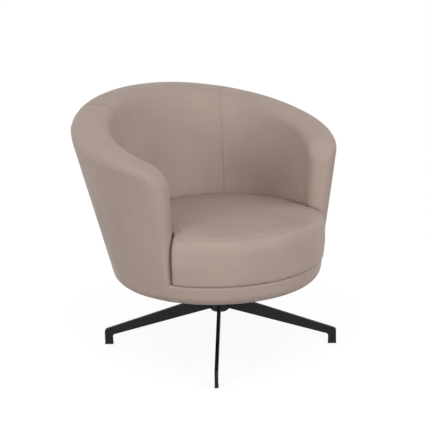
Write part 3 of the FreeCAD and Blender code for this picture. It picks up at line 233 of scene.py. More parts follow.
class Slice:
    """The wall's outline in the upright plane at a heading, squeezed thin towards an arm's tip."""

    def __init__(self, angle, squeeze=0.0):
        turn = math.radians(angle)
        self.angle = angle
        self.rake = (abs(angle) - WALL_END) / NOSE_TURN if squeeze else 0.0
        self.lean = math.sqrt(1 + (SLICE_LEAN_SHARE * math.sin(turn)) ** 2)
        self.side_lean = SLICE_LEAN_SHARE * math.cos(turn)
        left_over = 1 - squeeze
        top = rim_height(angle) - nose_drop(angle)
        levels = (TUB_BOTTOM, top - RIM_OUTER_RADIUS)
        outer = [self.flat(reach_of(outer_circle, angle, z), z) for z in levels]
        inner = [self.flat(reach_of(well_circle, angle, z), z) for z in levels]
        middle = [(a + b) / 2 for a, b in zip(outer, inner)]
        self.outer = [m + (point - m) * left_over for m, point in zip(middle, outer)]
        self.inner = [m + (point - m) * left_over for m, point in zip(middle, inner)]
        self.up_out = unit(self.outer[1] - self.outer[0])
        self.up_in = unit(self.inner[1] - self.inner[0])
        out, inward = outward(self.up_out), -outward(self.up_in)
        room = np.linalg.norm(self.outer[1] - self.inner[1]) * RIM_FILL_SHARE
        radii = np.array([RIM_OUTER_RADIUS, RIM_INNER_RADIUS]) * left_over
        self.r_out, self.r_in = radii * min(1.0, room / radii.sum())
        tight = eased(abs(angle), *RIM_TIGHT_HEADINGS)
        self.r_out *= 1 - RIM_TIGHTENING * tight
        top_v = self.level(top + RIM_CROWN_LIFT)
        self.c_out = self.on_line(self.outer[0] - out * self.r_out, self.up_out, top_v - self.r_out)
        self.c_in = self.on_line(self.inner[0] - inward * self.r_in, self.up_in, top_v - self.r_in)
        self.c_top = self.crown_centre()
        low = self.level(TUB_BOTTOM)
        self.c_foot = self.on_line(self.outer[0] - out * CORNER_RADIUS, self.up_out, low + CORNER_RADIUS)
        self.foot_in = self.c_foot - np.array([0, CORNER_RADIUS])
        self.foot_out = self.c_foot + out * CORNER_RADIUS
        self.side_top = self.c_out + out * self.r_out
        self.crown_out = self.c_out + unit(self.c_out - self.c_top) * self.r_out
        self.crown_in = self.c_in + unit(self.c_in - self.c_top) * self.r_in
        self.well_top = self.c_in + inward * self.r_in
        seam_turn = math.atan2(out[1], out[0])
        seam_turn += math.radians(RIM_SEAM_TURN * (1 - RIM_SEAM_TIGHTENING * tight))
        self.seam = self.c_out + self.r_out * np.array([math.cos(seam_turn), math.sin(seam_turn)])
        self.hem = self.foot_in - np.array([HEM_WIDTH, 0])

    def flat(self, reach, z):
        rise = z - CONE_HEIGHT
        return np.array([reach + self.side_lean * rise, rise * self.lean])

    def level(self, z):
        return (z - CONE_HEIGHT) * self.lean

    @staticmethod
    def on_line(point, direction, level):
        return point + direction * ((level - point[1]) / direction[1])

    def crown_centre(self):
        """Centre of the shallow arc that touches both rim arcs from above."""
        a, b = RIM_CROWN_RADIUS - self.r_out, RIM_CROWN_RADIUS - self.r_in
        gap = self.c_in - self.c_out
        span = np.linalg.norm(gap)
        along = (a * a - b * b + span * span) / (2 * span)
        side = outward(unit(gap))
        side = side if side[1] < 0 else -side
        return self.c_out + unit(gap) * along + side * math.sqrt(a * a - along * along)

    def space(self, points):
        """The slice's points in the chair's frame."""
        turn = math.radians(self.angle)
        tilt = SLICE_LEAN_SHARE * math.sin(turn)
        along = np.array([math.sin(turn), math.cos(turn), 0])
        up = np.array([-tilt * math.cos(turn), tilt * math.sin(turn), 1]) / self.lean
        origin = np.array([0, CONE_CENTRE, CONE_HEIGHT])
        flat = np.array(points)
        places = origin + flat[:, :1] * along + flat[:, 1:] * up
        reach = front_rake(places[:, 2:]) * self.rake
        return places + reach * forward(self.angle)

    def foot_points(self, side):
        """From the hem under the board, round the foot and up to a point of the side."""
        return (
            line_points(self.hem, self.foot_in, even(4))
            + arc_points(self.c_foot, self.foot_in, self.foot_out, even(8)[1:])
            + line_points(self.foot_out, side, even(4)[1:]))

    def low_side_run(self):
        """From the hem up to the level of the cushion's underside."""
        return self.space(self.foot_points(self.side_foot()))

    def high_side_run(self):
        """From the level of the cushion's underside up the side to the rim seam."""
        return self.space(
            line_points(self.side_foot(), self.side_top, WELL_SHARES)
            + arc_points(self.c_out, self.side_top, self.seam, RIM_SIDE_SHARES[1:]))

    def side_foot(self):
        return self.on_line(self.outer[0], self.up_out, self.level(SOFT_FLOOR))

    def outside_run(self):
        return np.concatenate([self.low_side_run(), self.high_side_run()[1:]])

    def inside_run(self):
        """From the rim seam over the rim and down the well to the deck."""
        deck = self.on_line(self.inner[0], self.up_in, self.level(SOFT_FLOOR))
        return self.space(
            arc_points(self.c_out, self.seam, self.crown_out, RIM_TOP_SHARES)
            + arc_points(self.c_top, self.crown_out, self.crown_in, even(4)[1:])
            + arc_points(self.c_in, self.crown_in, self.well_top, even(9)[1:])
            + line_points(self.well_top, deck, WELL_SHARES[1:]))

    def band_run(self):
        """The front band: turned under, up the front and over the rail."""
        out = outward(self.up_out)
        top = self.level(BAND_TOP)
        start = self.outer[0] - out * BAND_EDGE_RADIUS
        centre = self.on_line(start, self.up_out, top - BAND_EDGE_RADIUS)
        side = centre + out * BAND_EDGE_RADIUS
        edge = centre + np.array([0, BAND_EDGE_RADIUS])
        inner_end = edge - np.array([BAND_TOP_WIDTH, 0])
        return self.space(
            self.foot_points(side)
            + arc_points(centre, side, edge, even(5)[1:])
            + line_points(edge, inner_end, even(4)[1:]))


RIM_SIDE_SHARES = fine(RIM_OUTER_RADIUS * math.radians(RIM_SEAM_TURN), 1, at_end=True)
RIM_TOP_SHARES = fine(RIM_OUTER_RADIUS * math.radians(RIM_TOP_TURN), 6, at_start=True)
WELL_SHARES = even(36)


def headings(start, end, step=HEADING_STEP, seam_at_start=True, seam_at_end=True):
    """Headings from start to end, close together beside a seam at either end."""
    length = math.radians(end - start) * WALL_RADIUS
    count = round((end - start) / step)
    return [start + (end - start) * share for share in fine(length, count, seam_at_start, seam_at_end)]


def with_corners(angles):
    """Add headings where the rim comes down at the arm fronts."""
    corner = math.degrees(NOSE_CORNER_LENGTH / WALL_RADIUS)
    first = WALL_END + NOSE_TURN - corner
    extra = [first + (WALL_END - first) * share for share in even(6)[:-1]]
    every = angles + [side * angle for angle in extra for side in (-1, 1)]
    kept = sorted(angle for angle in every if angles[0] <= angle <= angles[-1])
    return [a for a, b in zip(kept, kept[1:]) if b - a > LEAST_HEADING_STEP] + kept[-1:]


# Meshes

def grid_mesh(name, *grids):
    """One smooth mesh from grids of points whose shared edges are welded."""
    built = bmesh.new()
    for grid in grids:
        rows = [[built.verts.new(point) for point in row] for row in grid]
        for low, high in zip(rows, rows[1:]):
            for i in range(len(low) - 1):
                built.faces.new((low[i], low[i + 1], high[i + 1], high[i]))
    bmesh.ops.remove_doubles(built, verts=built.verts, dist=MERGE_REACH)
    bmesh.ops.dissolve_degenerate(built, edges=built.edges, dist=SHORTEST_EDGE)
    bmesh.ops.recalc_face_normals(built, faces=built.faces)
    return finished(name, built)


def finished(name, built):
    """Write a bmesh to a new smooth object."""
    mesh = bpy.data.meshes.new(name)
    built.to_mesh(mesh)
    built.free()
    mesh.polygons.foreach_set("use_smooth", [True] * len(mesh.polygons))
    piece = bpy.data.objects.new(name, mesh)
    bpy.context.scene.collection.objects.link(piece)
    return piece


def face_away(piece, centre):
    """Turn the faces so that they look away from a point."""
    mesh = piece.data
    score = sum((face.center - centre).dot(face.normal) * face.area for face in mesh.polygons)
    if score <= 0:
        mesh.flip_normals()


def densely(points):
    """The points of a line with more between them."""
    points = [np.array(point) for point in points]
    line = []
    for start, end in zip(points, points[1:]):
        steps = max(1, int(np.linalg.norm(end - start) / SEAM_POINT_STEP))
        line.extend(start + (end - start) * share for share in even(steps)[:-1])
    return line + points[-1:]


def seam_paths():
    """A search tree over points along every seam of the wall."""
    paths = [
        Slice(angle).space([Slice(angle).seam])[0]
        for angle in headings(-WALL_END, WALL_END, RIM_SEAM_STEP, seam_at_start=False, seam_at_end=False)
    ]
    for side, front in fronts.items():
        paths.extend(densely(Slice(side * WALL_END).low_side_run()))
        paths.extend(densely(front.seam_line()))
        paths.extend(densely(front.rim_line()))
        paths.extend(densely(Slice(side * SIDE_SEAM).inside_run()))
    tree = KDTree(len(paths))
    for i, point in enumerate(paths):
        tree.insert(point, i)
    tree.balance()
    return tree


def seam_sink(distance):
    """How far the leather lies below its smooth surface at a distance from a seam."""
    groove = SEAM_DEPTH * hump(distance, 0, SEAM_WIDTH)
    return groove - SEAM_PUFF * hump(distance, SEAM_PUFF_AT, SEAM_PUFF_AT)


def unevenness(place, seed):
    """Slow swell of leather over foam, under a millimetre."""
    wide = noise.noise(place * WIDE_SWELL[0] + Vector((seed, 0, 0)))
    narrow = noise.noise(place * NARROW_SWELL[0] + Vector((0, seed, 0)))
    return WIDE_SWELL[1] * wide + NARROW_SWELL[1] * narrow


def dress(piece, seed):
    """Sink the seams into a panel and give its surface a slow swell."""
    mesh = piece.data
    normals = [vertex.normal.copy() for vertex in mesh.vertices]
    for vertex, normal in zip(mesh.vertices, normals):
        distance = SEAMS.find(vertex.co)[2]
        lift = unevenness(vertex.co, seed) * min(1.0, distance / SWELL_FADE)
        vertex.co += normal * (lift - seam_sink(distance))
    mesh.update()


def smoothed(piece):
    modifier = piece.modifiers.new("Subdivision", "SUBSURF")
    modifier.levels = 1
    modifier.render_levels = 1


def place(piece, body, slot, *replaced):
    """Tie a finished piece to its body and hide the nodes that it stands for. The slot is not used."""
    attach(piece, body)
    if replaced:
        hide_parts(*replaced)


# Rounded arm fronts: the seam lies on the front face at the top and runs out to the side lower down

THINNEST_SHARE = 0.001
SEAM_TURN_TOP = 45.0
SEAM_TURN_LEVEL = TUB_BOTTOM + 0.116
SEAM_TURN_GROWTH = 192.0
TIP_TURN = 90.0
TABLE_TURNS = [TIP_TURN * share for share in even(45)]
TABLE_REACH = len(TABLE_TURNS) - 1.000001  # just inside the table's last step
OUTSIDE_STRIP = 0.022
INSIDE_STRIP = 0.034
ARM_MIDDLE = 75
TUB_MIDDLE = Vector((0, 0.02, 0.45))
BEHIND_BACK = Vector((0, 0.9, 0.4))


def nose_slice(side, turn):
    """A slice of the rounded arm front at a turn from its start."""
    reach = NOSE_LENGTH * math.sin(math.radians(turn))
    angle = WALL_END + math.degrees(reach / WALL_RADIUS)
    squeeze = min(1 - math.cos(math.radians(turn)), 1 - THINNEST_SHARE)
    return Slice(side * angle, squeeze)


class ArmFront:
    """The outer side of a rounded arm front, as rows of points at any turn."""

    def __init__(self, side):
        self.table = np.array([nose_slice(side, turn).high_side_run() for turn in TABLE_TURNS])
        levels = self.table[0, :, 2]
        turns = np.radians(np.clip((levels - SEAM_TURN_LEVEL) * SEAM_TURN_GROWTH, 0, SEAM_TURN_TOP))
        lengths = NOSE_LENGTH + front_rake(levels)
        self.seam_turns = np.degrees(np.arcsin(NOSE_LENGTH * np.sin(turns) / lengths))
        self.seam_turns[-1] = SEAM_TURN_TOP

    def column(self, turns):
        """Points up the arm front, one for each row at that row's own turn."""
        step = TABLE_TURNS[1]
        places = np.clip(turns / step, 0, TABLE_REACH)
        low = places.astype(int)
        share = (places - low)[:, None]
        rows = np.arange(len(turns))
        return self.table[low, rows] * (1 - share) + self.table[low + 1, rows] * share

    def seam_line(self):
        return self.column(self.seam_turns)

    def rim_line(self):
        """The rim seam from the wall's end to the corner where it turns down."""
        return [self.column(self.seam_turns * share)[-1] for share in even(20)]

    def outside_columns(self):
        """The strip of the outside cover that reaches round the arm front."""
        shares = fine(OUTSIDE_STRIP, 3, at_end=True)
        return [self.column(self.seam_turns * share) for share in shares]

    def inside_columns(self):
        """The rest of the outer side, which belongs to the inside arm panel."""
        left = TIP_TURN - self.seam_turns
        return [self.column(self.seam_turns + left * share) for share in FRONT_SHARES]


FRONT_SHARES = fine(INSIDE_STRIP, 9, at_start=True)
fronts = {side: ArmFront(side) for side in (-1, 1)}
SEAMS = seam_paths()


def upholstered(piece, centre, seed, node):
    """Finish a leather panel that looks away from a point and stands for a node."""
    face_away(piece, centre)
    dress(piece, seed)
    smoothed(piece)
    place(piece, "seat", "leather", node)
    return piece


def make_outside():
    """The outside cover, from under the board to the rim seam and round the arm fronts to their seams."""
    angles = with_corners(headings(-WALL_END, WALL_END))
    strips = [front.outside_columns() for front in fronts.values()]
    piece = grid_mesh("tub_outside", [Slice(angle).outside_run() for angle in angles], *strips)
    return upholstered(piece, TUB_MIDDLE, 3.0, "cover_outside")


def make_inside_back():
    """The inside back panel between the two side seams."""
    angles = headings(-SIDE_SEAM, SIDE_SEAM)
    piece = grid_mesh("tub_inside_back", [Slice(angle).inside_run() for angle in angles])
    return upholstered(piece, BEHIND_BACK, 7.0, "cover_inside_back")


def make_arm(side, name, node, seed):
    """Inside arm panel that wraps the arm front round to its outer seam."""
    angles = with_corners(headings(SIDE_SEAM, WALL_END, seam_at_end=False))
    strip = [Slice(side * angle).inside_run() for angle in angles]
    first = [SEAM_TURN_TOP * share for share in even(5)[:-1]]
    rest = [SEAM_TURN_TOP + (TIP_TURN - SEAM_TURN_TOP) * share for share in FRONT_SHARES]
    inner = [nose_slice(side, turn).inside_run() for turn in first + rest]
    piece = grid_mesh(name, strip, inner, fronts[side].inside_columns())
    wall = Slice(side * ARM_MIDDLE)
    centre = Vector(wall.space([(wall.c_out + wall.c_in) / 2])[0])
    return upholstered(piece, centre, seed, node)


def make_band():
    """The front band below the cushion, between the arm fronts."""
    angles = headings(WALL_END, 360 - WALL_END)
    piece = grid_mesh("front_band", [Slice(angle).band_run() for angle in angles])
    return upholstered(piece, TUB_MIDDLE, 11.0, "cover_front_band")


outside = make_outside()
inside_back = make_inside_back()
inside_left = make_arm(-1, "tub_inside_left", "cover_inside_left", 13.0)
inside_right = make_arm(1, "tub_inside_right", "cover_inside_right", 17.0)
band = make_band()


# Seat cushion: the CAD cushion's outer form, drawn in a little and swollen by cloth simulation

CUSHION_NODES = ("cushion_cover", "cushion_underside", "cushion_wrap", "cushion_core")
START_DEPTH = 0.001
OUTER_REACH = 0.006
SIDE_GROWTH_CAP = 0.002
TOP_GROWTH_CAP = 0.0035
CUSHION_SEAM_RISE = 0.0008
VOXEL = 0.004
CUSHION_SWELL = 1.2
UNDERSIDE_NORMAL = -0.9
SEAM_SPREAD = 0.03
RELAX_FACTOR = 0.5

# The cushion's front, by heights over its underside; a slope is the level share of the normal

LOW_EDGE_FILL = 0.0075
LOW_EDGE_REACH = 0.0085
LOW_EDGE_SLOPE = 0.35
HIGH_EDGE = 0.12
HIGH_EDGE_FILL = 0.0012
HIGH_EDGE_REACH = 0.03
HIGH_EDGE_SLOPE = (0, 0.9)
LEAST_SLOPE = 0.02
CUSHION_FRONT = (110, 118)

# The cushion's ears in front of the arms, by headings and by distances from the middle of the seat

EAR_BULGE = 0.003
EAR_BULGE_RISE = 0.065
EAR_BULGE_HEIGHT = 0.035
EAR_BULGE_REACH = (0.300, 0.318)
EAR_BULGE_END = (130, 155)
EAR_REACH = (0.272, 0.290)
EAR_END = (127, 140)
EAR_FOOT = 0.006
EAR_FOOT_HEIGHT = 0.014

# The cushion's neck between the arms, lifted beside them

NECK_LIFT = 0.012
NECK_REACH = (0.13, 0.26)
NECK_FALL = (0.285, 0.322)
NECK_FALL_SHARE = 0.85
NECK_START = (106, 120)
NECK_END = (126, 150)
NECK_RISE = (0.03, 0.12)

CLOTH_FRAMES = 20
CLOTH_SETTINGS = {
    "use_pressure": True,
    "uniform_pressure_force": 4.0,
    "quality": 4,
    "mass": 0.4,
    "tension_stiffness": 25,
    "compression_stiffness": 25,
    "shear_stiffness": 10,
    "bending_stiffness": 2.0,
}


def joined_copy(name, node_names):
    """One new object with the meshes of some nodes."""
    built = bmesh.new()
    for node_name in node_names:
        built.from_mesh(nodes[node_name].data)
    return finished(name, built)


def keep_outer_skin(piece):
    """Delete every island of a mesh but the widest."""
    built = bmesh.new()
    built.from_mesh(piece.data)
    left = set(built.verts)
    islands = []
    while left:
        island = {left.pop()}
        edge = list(island)
        while edge:
            near = {link.other_vert(reached) for reached in edge for link in reached.link_edges}
            edge = [vertex for vertex in near if vertex in left]
            left.difference_update(edge)
            island.update(edge)
        islands.append(island)
    widest = max(islands, key=lambda island: max(vertex.co.x for vertex in island))
    for island in islands:
        if island is not widest:
            bmesh.ops.delete(built, geom=list(island), context="VERTS")
    built.to_mesh(piece.data)
    built.free()


def surface_of(piece):
    """A search tree over a piece's shown surface."""
    shown = piece.evaluated_get(bpy.context.evaluated_depsgraph_get()).to_mesh()
    points = [vertex.co.copy() for vertex in shown.vertices]
    return BVHTree.FromPolygons(points, [list(face.vertices) for face in shown.polygons])


def applied(piece):
    """Turn a piece's modifiers into its mesh."""
    bpy.context.view_layer.update()
    shaped = piece.evaluated_get(bpy.context.evaluated_depsgraph_get())
    mesh = bpy.data.meshes.new_from_object(shaped)
    piece.modifiers.clear()
    piece.data = mesh


def remeshed(piece):
    modifier = piece.modifiers.new("Remesh", "REMESH")
    modifier.mode = "VOXEL"
    modifier.voxel_size = VOXEL
    applied(piece)


def relax(piece, rounds):
    modifier = piece.modifiers.new("Smooth", "SMOOTH")
    modifier.iterations = rounds
    modifier.factor = RELAX_FACTOR
    applied(piece)


def lay_under(piece, surface, depth):
    """Move every point to a depth below the nearest outer surface."""
    mesh = piece.data
    places = [vertex.co + vertex.normal * OUTER_REACH for vertex in mesh.vertices]
    for vertex, outside_place in zip(mesh.vertices, places):
        near = surface.find_nearest(outside_place)[0]
        vertex.co = near + (near - outside_place).normalized() * depth
    mesh.update()


def blow_up(piece):
    """Swell a piece as cloth under pressure: no point sinks in, or moves out further than the caps."""
    start = [(vertex.co.copy(), vertex.normal.copy()) for vertex in piece.data.vertices]
    cloth = piece.modifiers.new("Cloth", "CLOTH")
    for name, value in CLOTH_SETTINGS.items():
        setattr(cloth.settings, name, value)
    cloth.settings.effector_weights.gravity = 0
    cloth.collision_settings.use_collision = False
    scene = bpy.context.scene
    for step in range(1, CLOTH_FRAMES + 1):
        scene.frame_set(step)
    applied(piece)
    scene.frame_set(1)
    for vertex, (before, normal) in zip(piece.data.vertices, start):
        move = vertex.co - before
        move -= normal * min(0.0, move.dot(normal))
        cap = SIDE_GROWTH_CAP + (TOP_GROWTH_CAP - SIDE_GROWTH_CAP) * abs(normal.z)
        vertex.co = before + move * min(1.0, cap / max(move.length, cap))
    piece.data.update()


def fill_out(piece):
    """Square the front's edges, and fill the ears out against the arm fronts and up beside the neck."""
    mesh = piece.data
    normals = [vertex.normal.copy() for vertex in mesh.vertices]
    for vertex, normal in zip(mesh.vertices, normals):
        x, y, z = vertex.co.x, vertex.co.y - CONE_CENTRE, vertex.co.z
        heading, reach, rise = abs(math.degrees(math.atan2(x, y))), math.hypot(x, y), z - SOFT_FLOOR
        ear = eased(reach, *EAR_REACH) * (1 - eased(heading, *EAR_END))
        neck = eased(reach, *NECK_REACH) * (1 - NECK_FALL_SHARE * eased(reach, *NECK_FALL))
        neck *= eased(heading, *NECK_START) * (1 - eased(heading, *NECK_END))
        neck *= eased(rise, *NECK_RISE)
        sideways = Vector((normal.x, normal.y, 0))
        front = eased(reach, *EAR_REACH) * eased(heading, *CUSHION_FRONT)
        low = LOW_EDGE_FILL * math.exp(-rise / LOW_EDGE_REACH)
        full = low * min(1.0, sideways.length / LOW_EDGE_SLOPE)
        high = HIGH_EDGE_FILL * hump(rise, HIGH_EDGE, HIGH_EDGE_REACH)
        full += high * eased(sideways.length, *HIGH_EDGE_SLOPE)
        if sideways.length > LEAST_SLOPE:
            vertex.co += sideways.normalized() * full * front
        bulge = EAR_BULGE * hump(rise, EAR_BULGE_RISE, EAR_BULGE_HEIGHT)
        bulge *= eased(reach, *EAR_BULGE_REACH) * (1 - eased(heading, *EAR_BULGE_END))
        vertex.co += Vector((x, y, 0)).normalized() * bulge
        back = float(front_rake(z)) - EAR_FOOT * math.exp(-rise / EAR_FOOT_HEIGHT)
        vertex.co += Vector(forward(math.degrees(math.atan2(x, y)))) * back * ear
        vertex.co.z += NECK_LIFT * neck
    mesh.update()


def sew_round(piece, height):
    """Cut a level seam into the cushion and pull it in."""
    built = bmesh.new()
    built.from_mesh(piece.data)
    for step in SEAM_STEPS:
        for side in (-1, 1):
            plane = Vector((0, 0, height + side * step))
            everything = built.verts[:] + built.edges[:] + built.faces[:]
            bmesh.ops.bisect_plane(
                built, geom=everything, plane_co=plane, plane_no=Vector((0, 0, 1)), dist=SHORTEST_EDGE)
    built.normal_update()
    for vertex in built.verts:
        distance = abs(vertex.co.z - height)
        if distance < SEAM_SPREAD:
            sideways = Vector((vertex.normal.x, vertex.normal.y, 0))
            vertex.co -= sideways * seam_sink(distance)
    built.to_mesh(piece.data)
    built.free()
    piece.data.update()


def settle(piece, seed):
    """Lay a piece's underside flat and give its surface a slow swell."""
    mesh = piece.data
    normals = [vertex.normal.copy() for vertex in mesh.vertices]
    for vertex, normal in zip(mesh.vertices, normals):
        vertex.co += normal * unevenness(vertex.co, seed) * CUSHION_SWELL
        if normal.z < UNDERSIDE_NORMAL or vertex.co.z < SOFT_FLOOR:
            vertex.co.z = SOFT_FLOOR
    mesh.update()


def make_cushion():
    """The cushion: drawn in, swollen, flat below, sewn round."""
    piece = joined_copy("seat_cushion", CUSHION_NODES)
    surface = surface_of(piece)
    remeshed(piece)
    keep_outer_skin(piece)
    relax(piece, 1)
    lay_under(piece, surface, START_DEPTH)
    blow_up(piece)
    settle(piece, 19.0)
    fill_out(piece)
    relax(piece, 4)
    sew_round(piece, SOFT_FLOOR + CUSHION_SEAM_RISE)
    piece.data.polygons.foreach_set("use_smooth", [True] * len(piece.data.polygons))
    place(piece, "seat", "leather", *CUSHION_NODES)
    return piece


cushion = make_cushion()


# The arms' foam, shaped like the leather over it

def make_arm_foam(name, node):
    """An arm's foam, moved with the arm front's rake."""
    piece = joined_copy(name, [node])
    for vertex in piece.data.vertices:
        x, y, z = vertex.co
        heading = math.degrees(math.atan2(x, y - slice_axis(z)))
        share = min(1.0, max(0.0, (abs(heading) - WALL_END) / NOSE_TURN))
        vertex.co += Vector(forward(heading)) * float(front_rake(z)) * share
    piece.data.update()
    place(piece, "seat", "foam", node)
    return piece


arm_foams = [
    make_arm_foam("arm_foam_left", "foam_arm_left"),
    make_arm_foam("arm_foam_right", "foam_arm_right"),
]


# Topstitching beside the side seams

STITCH_PROFILE = ((0, 0.35, -1.2), (0.15, 0.9, 0.2), (0.5, 1.0, 0.7), (0.85, 0.9, 0.2), (1, 0.35, -1.2))
STITCH_WALL_RADIUS = WELL_RADIUS + 0.03


def ring_points(centre, first, second, radius, count):
    """Points round a circle in the plane of two directions."""
    turns = [math.radians(360 / count * i) for i in range(count)]
    return [centre + (first * math.cos(turn) + second * math.sin(turn)) * radius for turn in turns]


def stitch_rings(start, end, normal):
    """Rings of one stitch: a short thread that dips into the leather at both ends."""
    along = (end - start).normalized()
    across = along.cross(normal).normalized()
    rings = []
    for share, thickness, height in STITCH_PROFILE:
        centre = start.lerp(end, share) + normal * (height * STITCH_RADIUS)
        rings.append(ring_points(centre, across, normal, STITCH_RADIUS * thickness, 6))
    return rings


def add_tube(built, rings):
    """Skin a run of rings and close both ends."""
    loops = [[built.verts.new(point) for point in ring] for ring in rings]
    for low, high in zip(loops, loops[1:]):
        for i in range(len(low)):
            j = (i + 1) % len(low)
            built.faces.new((low[i], low[j], high[j], high[i]))
    built.faces.new(loops[0][::-1])
    built.faces.new(loops[-1])


def evenly_along(points, step):
    """Places a step apart along a line of points."""
    gaps = np.linalg.norm(np.diff(points, axis=0), axis=1)
    reach = np.concatenate([[0], np.cumsum(gaps)])
    marks = np.arange(0, reach[-1], step)
    return [Vector([np.interp(mark, reach, points[:, axis]) for axis in range(3)]) for mark in marks]


def make_stitches(name, angle, panel):
    """A row of topstitching down a panel, at a heading just beside its seam."""
    bpy.context.view_layer.update()
    surface = surface_of(panel)
    built = bmesh.new()
    run = Slice(angle).inside_run()[len(SEAM_STEPS):]
    for start in evenly_along(run, STITCH_LENGTH + STITCH_GAP):
        ahead = min(range(len(run)), key=lambda i: (Vector(run[i]) - start).length)
        way = Vector(run[min(ahead + 1, len(run) - 1)] - run[max(ahead - 1, 0)]).normalized()
        near, normal = surface.find_nearest(start)[:2]
        far = surface.find_nearest(start + way * STITCH_LENGTH)[0]
        add_tube(built, stitch_rings(near, far, normal))
    piece = finished(name, built)
    place(piece, "seat", "leather")
    return piece


stitch_turn = math.degrees(STITCH_OFFSET / STITCH_WALL_RADIUS)
stitches = [
    make_stitches("stitches_back_left", -SIDE_SEAM + stitch_turn, inside_back),
    make_stitches("stitches_back_right", SIDE_SEAM - stitch_turn, inside_back),
    make_stitches("stitches_arm_left", -SIDE_SEAM - stitch_turn, inside_left),
    make_stitches("stitches_arm_right", SIDE_SEAM + stitch_turn, inside_right),
]


# Small parts of the base and the underside

LEG_YAW = 55.44
LEG_HALF = 0.005
COLUMN_RADIUS = 0.0285
WELD_LOW = 0.119
WELD_HIGH = 0.156
WELD_RADIUS = 0.0021
WELD_RINGS = 26
WELD_RIPPLE = 0.16
WELD_TAPER = 0.12
WELD_OFFSET = 0.0006
STAPLES = 64
STAPLE_INSET = 0.006
STAPLE_HALF = 0.0055
STAPLE_RADIUS = 0.0005
STAPLE_PROFILE = ((-1, 0.0005), (-0.82, -0.0005), (0, -0.0006), (0.82, -0.0005), (1, 0.0005))


def make_welds():
    """Ripples of weld where each leg meets the column, both sides."""
    built = bmesh.new()
    reach = math.sqrt(COLUMN_RADIUS ** 2 - LEG_HALF ** 2) + WELD_OFFSET
    for leg in range(4):
        yaw = math.radians(LEG_YAW + 90 * leg)
        along = Vector((math.cos(yaw), math.sin(yaw), 0))
        across = Vector((-math.sin(yaw), math.cos(yaw), 0))
        for side in (-1, 1):
            rings = []
            for i in range(WELD_RINGS + 1):
                share = i / WELD_RINGS
                ripple = 1 + WELD_RIPPLE * math.cos(math.pi * i)
                swell = math.sin(math.pi * (WELD_TAPER + (1 - 2 * WELD_TAPER) * share)) ** 0.5
                centre = along * reach + across * side * (LEG_HALF + WELD_OFFSET)
                centre.z = WELD_LOW + (WELD_HIGH - WELD_LOW) * share
                rings.append(ring_points(centre, along, across, WELD_RADIUS * ripple * swell, 8))
            add_tube(built, rings)
    piece = finished("leg_welds", built)
    smoothed(piece)
    place(piece, "base", "base_steel")
    return piece


def make_staples():
    """Staples that hold the dust cover and the leather hem to the board."""
    low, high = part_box("dust_cover")
    centre = (low + high) / 2
    radius = (high.x - low.x) / 2 - STAPLE_INSET
    built = bmesh.new()
    for i in range(STAPLES):
        turn = 2 * math.pi * i / STAPLES
        outward_way = Vector((math.cos(turn), math.sin(turn), 0))
        along = Vector((-math.sin(turn), math.cos(turn), 0))
        middle = Vector((centre.x, centre.y, low.z)) + outward_way * radius
        rings = []
        for share, lift in STAPLE_PROFILE:
            spot = middle + along * (share * STAPLE_HALF) + Vector((0, 0, lift))
            rings.append(ring_points(spot, outward_way, Vector((0, 0, 1)), STAPLE_RADIUS, 6))
        add_tube(built, rings)
    piece = finished("cover_staples", built)
    place(piece, "seat", "zinc_steel")
    return piece


welds = make_welds()
staples = make_staples()


# Materials

